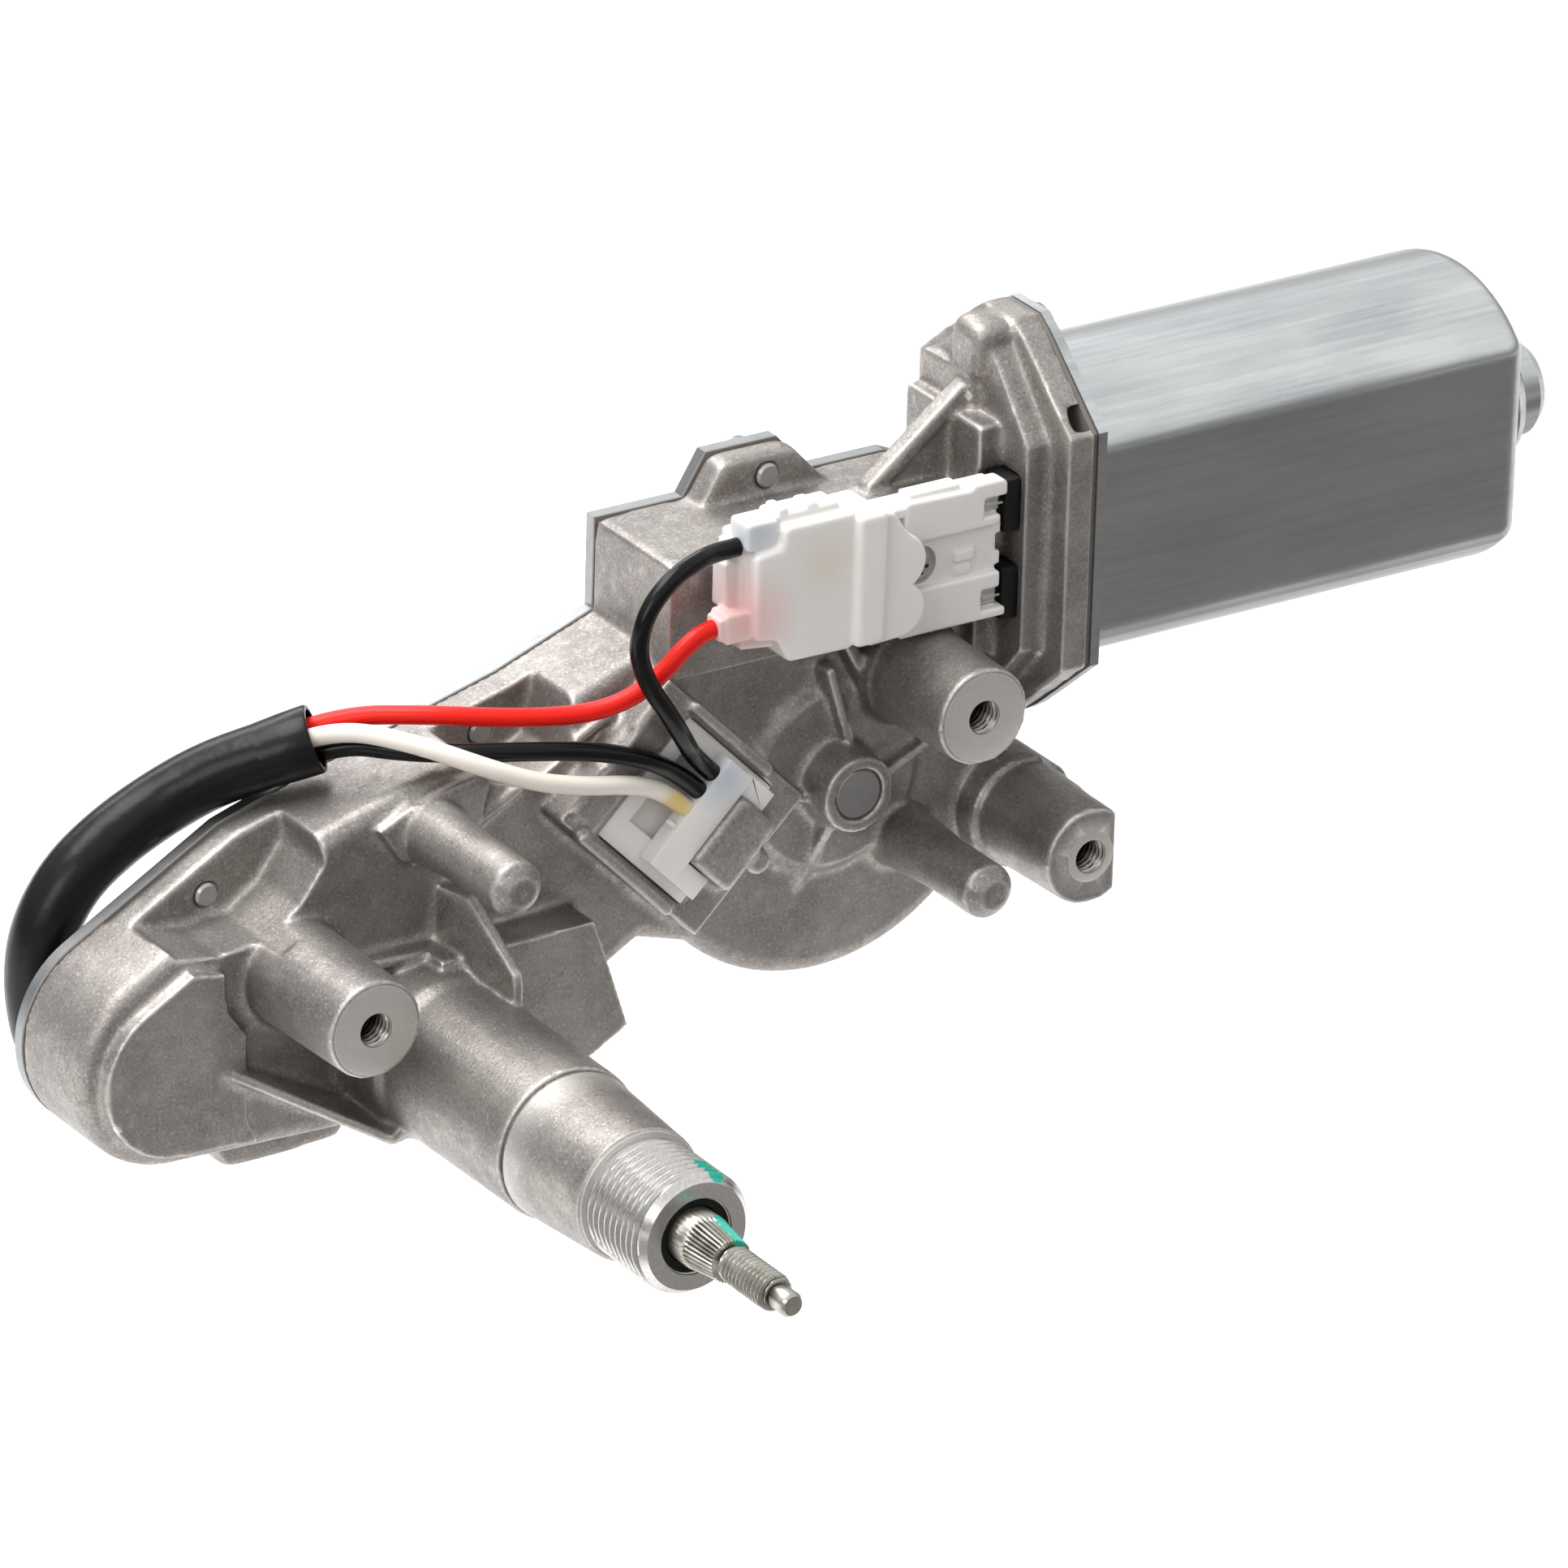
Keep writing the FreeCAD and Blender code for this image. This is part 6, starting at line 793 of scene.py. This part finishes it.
def make_nose():
    """The threaded nose of the tube, with a chamfered tip and a plain root."""
    def skin(turn, y):
        threaded = NOSE_RADIUS - NOSE_THREAD_DEPTH * (1 - ridge(y / NOSE_PITCH - turn))
        smooth_root = NOSE_ROOT_RADIUS if y > -NOSE_ROOT_LENGTH else threaded
        return min(smooth_root, NOSE_TIP_RADIUS + (y - NOSE_TIP_Y) * 0.9)

    def bore(turn, y):
        return NOSE_BORE_RADIUS + (0.25 if y < NOSE_TIP_Y + 0.4 else 0.0)

    piece = lathe("threaded_nose", steps(NOSE_TIP_Y, 0.0, NOSE_PITCH / 10), skin, bore, around=96)
    shade(piece, 40)
    finish_piece(piece, "cast_aluminium", "housing", "gear_housing", MACHINED)


# Output spindle: dog point, M6 thread, serrated taper and shank.
SERRATIONS = 36
SPINDLE_TIP_Y = -41.8
DOG_RADIUS = 2.0
DOG_LENGTH = 4.0
SPINDLE_THREAD_RADIUS = 3.0
SPINDLE_THREAD_LENGTH = 12.8
SPINDLE_THREAD_DEPTH = 0.55
TAPER_LENGTH = 7.0
TAPER_RADII = (3.55, 4.4)
SERRATION_DEPTH = 0.34
SHANK_RADIUS = 4.5


def make_spindle():
    thread_start = SPINDLE_TIP_Y + DOG_LENGTH
    taper_start = thread_start + SPINDLE_THREAD_LENGTH
    taper_end = taper_start + TAPER_LENGTH

    def skin(turn, y):
        if y < thread_start:
            return DOG_RADIUS - 0.45 * max(0.0, 1 - (y - SPINDLE_TIP_Y) / 0.6)
        if y < taper_start:
            run_in = max(0.0, min(1.0, y - thread_start, (taper_start - y) / 1.2))
            root = 1 - ridge(y - turn)
            return SPINDLE_THREAD_RADIUS - SPINDLE_THREAD_DEPTH * root - SPINDLE_THREAD_DEPTH * (1 - run_in)
        if y < taper_end:
            share = (y - taper_start) / TAPER_LENGTH
            reach = TAPER_RADII[0] + (TAPER_RADII[1] - TAPER_RADII[0]) * share
            return reach - SERRATION_DEPTH * (1 - ridge(turn * SERRATIONS)) * (1.0 if share < 0.92 else 0.3)
        return SHANK_RADIUS

    heights = [SPINDLE_TIP_Y, SPINDLE_TIP_Y + 0.3, SPINDLE_TIP_Y + 0.6, thread_start - 0.02]
    heights += steps(thread_start, taper_start - 0.05, 1 / 9)
    heights += [taper_start, taper_start + 0.4] + steps(taper_start + 1, taper_end - 0.6, 0.8)
    heights += [taper_end - 0.3, taper_end, 20.0, 50.0, 79.7, 80.2]
    piece = lathe("serrated_spindle", heights, skin, around=SERRATIONS * 5)
    shade(piece, 45)
    finish_piece(piece, "zinc_spindle", "spindle", "output_spindle")


# Feed connector. Outlines are corners (x, z) in millimetres, read from the photograph.
SCREW_AXIS = (84.5, 63.1)


def arc_points(middle, radius, start, end, count=8):
    """Points (x, z) on an arc, between two angles in degrees."""
    angles = [math.radians(start + (end - start) * i / count) for i in range(count + 1)]
    return [(middle[0] + radius * math.cos(angle), middle[1] + radius * math.sin(angle)) for angle in angles]


def make_feed_plug():
    body = [(51.2, 59.4), (55.6, 58.6), (57.6, 54.6), (69.4, 54.4)]
    body += [(69.4, 77.4), (56.4, 77.4), (55.8, 74.2), (51.2, 73.6)]
    flap = [(72.0, 54.2)] + arc_points((77.8, 58.9), 4.5, -75, 60)
    flap += arc_points((77.6, 66.9), 4.7, -52, 66) + [(78.4, 72.4), (76.2, 75.8), (72.0, 76.4)]
    pieces = [
        plate("plug_body", body, 50.2, 59.4, 0.9),
        plate("plug_back", [(50.6, 57.0), (70, 54.6), (70, 76.8), (50.6, 75.6)], 53.4, 59.7, 0.6),
        block("plug_ridge", (68.9, 48.7, 54.9), (74.3, 59.7, 76.9), 1.0),
        plate("plug_flap", flap, 50.0, 54.4, 0.8),
        block("plug_top_step", (56.0, 52.6, 76.6), (67.6, 57.8, 78.6), 0.5),
        block("plug_top_nub_left", (56.6, 52.8, 78.0), (58.4, 57.0, 79.5), 0.5),
        block("plug_top_nub_right", (61.6, 52.8, 78.0), (63.8, 57.0, 79.3), 0.5),
        block("plug_side_tab", (48.4, 54.6, 63.6), (51.6, 58.6, 71.4), 0.5),
        block("plug_side_notch", (49.0, 55.4, 70.0), (51.6, 58.0, 75.0), 0.4),
        block("black_collar", (50.2, 51.4, 74.0), (55.8, 56.8, 78.6), 0.6),
        block("red_collar", (46.8, 51.6, 59.2), (52.0, 56.4, 64.2), 0.6),
        block("red_collar_lip", (45.9, 52.0, 59.8), (47.6, 56.0, 63.6), 0.5),
    ]
    piece = joined("milky_plug", pieces)
    melted(piece, 0.22, 3, 70000)
    finish_piece(piece, "milky_nylon", "housing", "feed_connector_plug")


def make_feed_base():
    upper = [(80.4, 67.6), (98.6, 67.6), (98.6, 69.2), (95.6, 69.2), (95.6, 72.2), (99.7, 72.2)]
    upper += [(99.7, 74.4), (98.8, 75.0), (93.6, 75.0), (93.0, 74.3), (81.0, 74.6)]
    lower = [(80.4, 51.9), (100.0, 51.9), (100.0, 53.4), (95.5, 53.4)]
    lower += [(95.5, 56.9), (98.8, 56.9), (98.8, 59.6), (80.4, 59.6)]
    pieces = [
        plate("base_floor", [(76.1, 52.2), (98.8, 52.2), (98.8, 74.0), (76.1, 74.0)], 55.5, 59.95, 0.4),
        plate("base_upper", upper, 54.0, 57.4, 0.45),
        plate("base_lower", lower, 54.0, 57.4, 0.45),
        block("base_top_step", (82.0, 55.2, 74.2), (91.6, 58.4, 75.4), 0.3),
        block("latch_upper", (90.8, 54.7, 62.3), (94.4, 56.4, 64.2), 0.4),
        block("latch_lower", (91.0, 55.0, 59.9), (94.0, 56.4, 61.5), 0.3),
        block("edge_tooth_upper", (98.2, 55.4, 65.4), (99.5, 58.4, 67.4), 0.2),
        block("edge_tooth_lower", (98.2, 55.4, 60.2), (99.5, 58.4, 62.4), 0.2),
        block("base_hinge", (76.5, 54.2, 72.2), (82.0, 57.4, 74.0), 0.4),
    ]
    piece = joined("milky_base", pieces)
    melted(piece, 0.2, 2, 60000)
    tools = [
        lathe("screw_well", [53.0, 56.9], lambda turn, y: 3.2, around=48, axis=SCREW_AXIS),
        block("blade_room_upper", (95.9, 54.6, 69.5), (99.9, 58.0, 72.0), 0),
        block("blade_room_lower", (95.8, 54.6, 53.7), (99.9, 58.0, 56.7), 0),
    ]
    for tool in tools:
        cut_away(piece, tool)
    shade(piece)
    finish_piece(piece, "milky_nylon", "housing", "feed_connector_base")


def make_connector_screw():
    """A domed head with a cross in it, on a plain shank."""
    def skin(turn, y):
        if y < 55.2:
            return 1.5 + (y - 54.7) * 1.4
        return 2.3 if y < 56.5 else 1.5

    heights = [54.7, 54.85, 55.0, 55.19, 55.3, 56.49, 56.51, 62.0]
    piece = lathe("cross_head_screw", heights, skin, around=48, axis=SCREW_AXIS)
    x, z = SCREW_AXIS
    for half_x, half_z in ((1.3, 0.3), (0.3, 1.3)):
        low = (x - half_x, 54.0, z - half_z)
        high = (x + half_x, 55.9, z + half_z)
        cut_away(piece, block("drive_slot", low, high, 0))
    shade(piece, 30)
    finish_piece(piece, "zinc_screw", "housing", "connector_screw")


def make_terminals():
    """The blades, with their folded tips that show in the slots of the base."""
    pieces = [cad_copy("brush_terminals", "tinned_blades")]
    for low_z, high_z in ((69.6, 71.7), (53.9, 56.4)):
        pieces.append(block("folded_tip", (96.1, 55.3, low_z), (99.0, 55.7, high_z), 0.1))
        pieces.append(block("folded_side", (98.6, 55.3, low_z), (99.0, 58.6, high_z), 0.1))
        middle = (low_z + high_z) / 2
        pieces.append(block("folded_edge", (96.1, 54.9, middle - 0.2), (99.4, 55.5, middle + 0.2), 0.1))
    piece = joined("tinned_blades", pieces)
    shade(piece)
    finish_piece(piece, "tinned_brass", "housing", "brush_terminals")


def make_small_pieces():
    """Moulded and pressed pieces, with rounded edges."""
    for node, name, width, slot in (
        ("terminal_grommets", "rubber_grommets", 0.5, "black_rubber"),
        ("switch_base", "moulded_switch_base", 0.3, "milky_nylon"),
        ("switch_plug", "moulded_switch_plug", 0.55, "milky_nylon"),
        ("harness_connector", "moulded_harness_plug", 0.4, "white_nylon"),
        ("harness_clip", "pressed_clip", 0.2, "zinc_sheet"),
    ):
        finish_piece(soft_edged(node, name, width), slot, "housing", node)
    tabs = [
        switch_plate("wire_tab_upper", (-3.6, -1.6), (3.3, 4.1), 55.0, 56.2, 0.25),
        switch_plate("wire_tab_lower", (-3.6, -1.6), (-3.5, -2.7), 55.0, 56.2, 0.25),
    ]
    tab = joined("wire_tabs", tabs)
    shade(tab)
    finish_piece(tab, "milky_nylon", "housing", "switch_plug")


# Studio. Sizes and places in metres.
FLOOR_DROP = 0.09
SKY_LOW = 0.1
SKY_HIGH = 0.95
SKY_HIGH_FROM = 0.5


def stage_sheet(name, low, high, height, colour):
    """A level matt sheet between two corners (x, y)."""
    bpy.ops.mesh.primitive_plane_add(size=1)
    sheet = bpy.context.object
    sheet.name = name
    for vertex in sheet.data.vertices:
        x, y, _ = vertex.co
        vertex.co = (low[0] + (high[0] - low[0]) * (x + 0.5), low[1] + (high[1] - low[1]) * (y + 0.5), height)
    sheet.data.materials.append(new_material(name + "_paint", Base_Color=rgb(colour), Roughness=0.9))
    return sheet


def area_light(name, place, target, size, power):
    """A rectangular soft light that looks at a target. Power in watts."""
    data = bpy.data.lights.new(name, "AREA")
    data.shape = "RECTANGLE"
    data.size = size[0]
    data.size_y = size[1]
    data.energy = power
    light = bpy.data.objects.new(name, data)
    bpy.context.scene.collection.objects.link(light)
    light.location = place
    light.rotation_euler = (Vector(target) - Vector(place)).to_track_quat("-Z", "Y").to_euler()


def make_studio():
    """A pale floor, a sky that is brighter higher up, three soft lights and a card that the camera can't see.

    The card lies on the floor before the object and keeps the floor's white out of the faces to the front.
    """
    floor_height = CAD_BOX[0][2] - FLOOR_DROP
    stage_sheet("studio_floor", (-4, -4), (4, 4), floor_height, "fbfbfb")
    card = stage_sheet("dark_card", (-0.6, -1.3), (1.0, -0.06), floor_height + 0.001, "7d7b79")
    card.visible_camera = False
    card.visible_shadow = False
    world = bpy.data.worlds.new("studio")
    world.use_nodes = True
    whole = add(world, "ShaderNodeTexCoord", output="Generated")
    upward = add(world, "ShaderNodeSeparateXYZ", {0: whole}, "Z")
    strength = add(world, "ShaderNodeMapRange", run(upward, 0.0, SKY_HIGH_FROM, SKY_LOW, SKY_HIGH))
    sky = world.node_tree.nodes["Background"]
    feed(world, sky.inputs["Strength"], strength)
    feed(world, sky.inputs["Color"], (1, 1, 1, 1))
    bpy.context.scene.world = world
    target = (0.05, 0.05, 0.03)
    area_light("soft_box_above", (-0.25, 0.3, 0.95), target, (0.8, 0.6), 10.0)
    area_light("soft_box_left", (-0.95, -0.45, 0.6), target, (0.5, 0.5), 3.0)
    area_light("background_wash", (0.3, 1.5, 0.9), (0.2, 0.9, -0.1), (1.2, 0.6), 9.0)
    bpy.context.scene.view_settings.view_transform = "Standard"


paint_nodes()
make_casting()
make_tube_end()
make_boss_threads()
make_nose()
make_spindle()
make_feed_plug()
make_feed_base()
make_connector_screw()
make_terminals()
make_small_pieces()
make_cords()
make_studio()
make_camera()
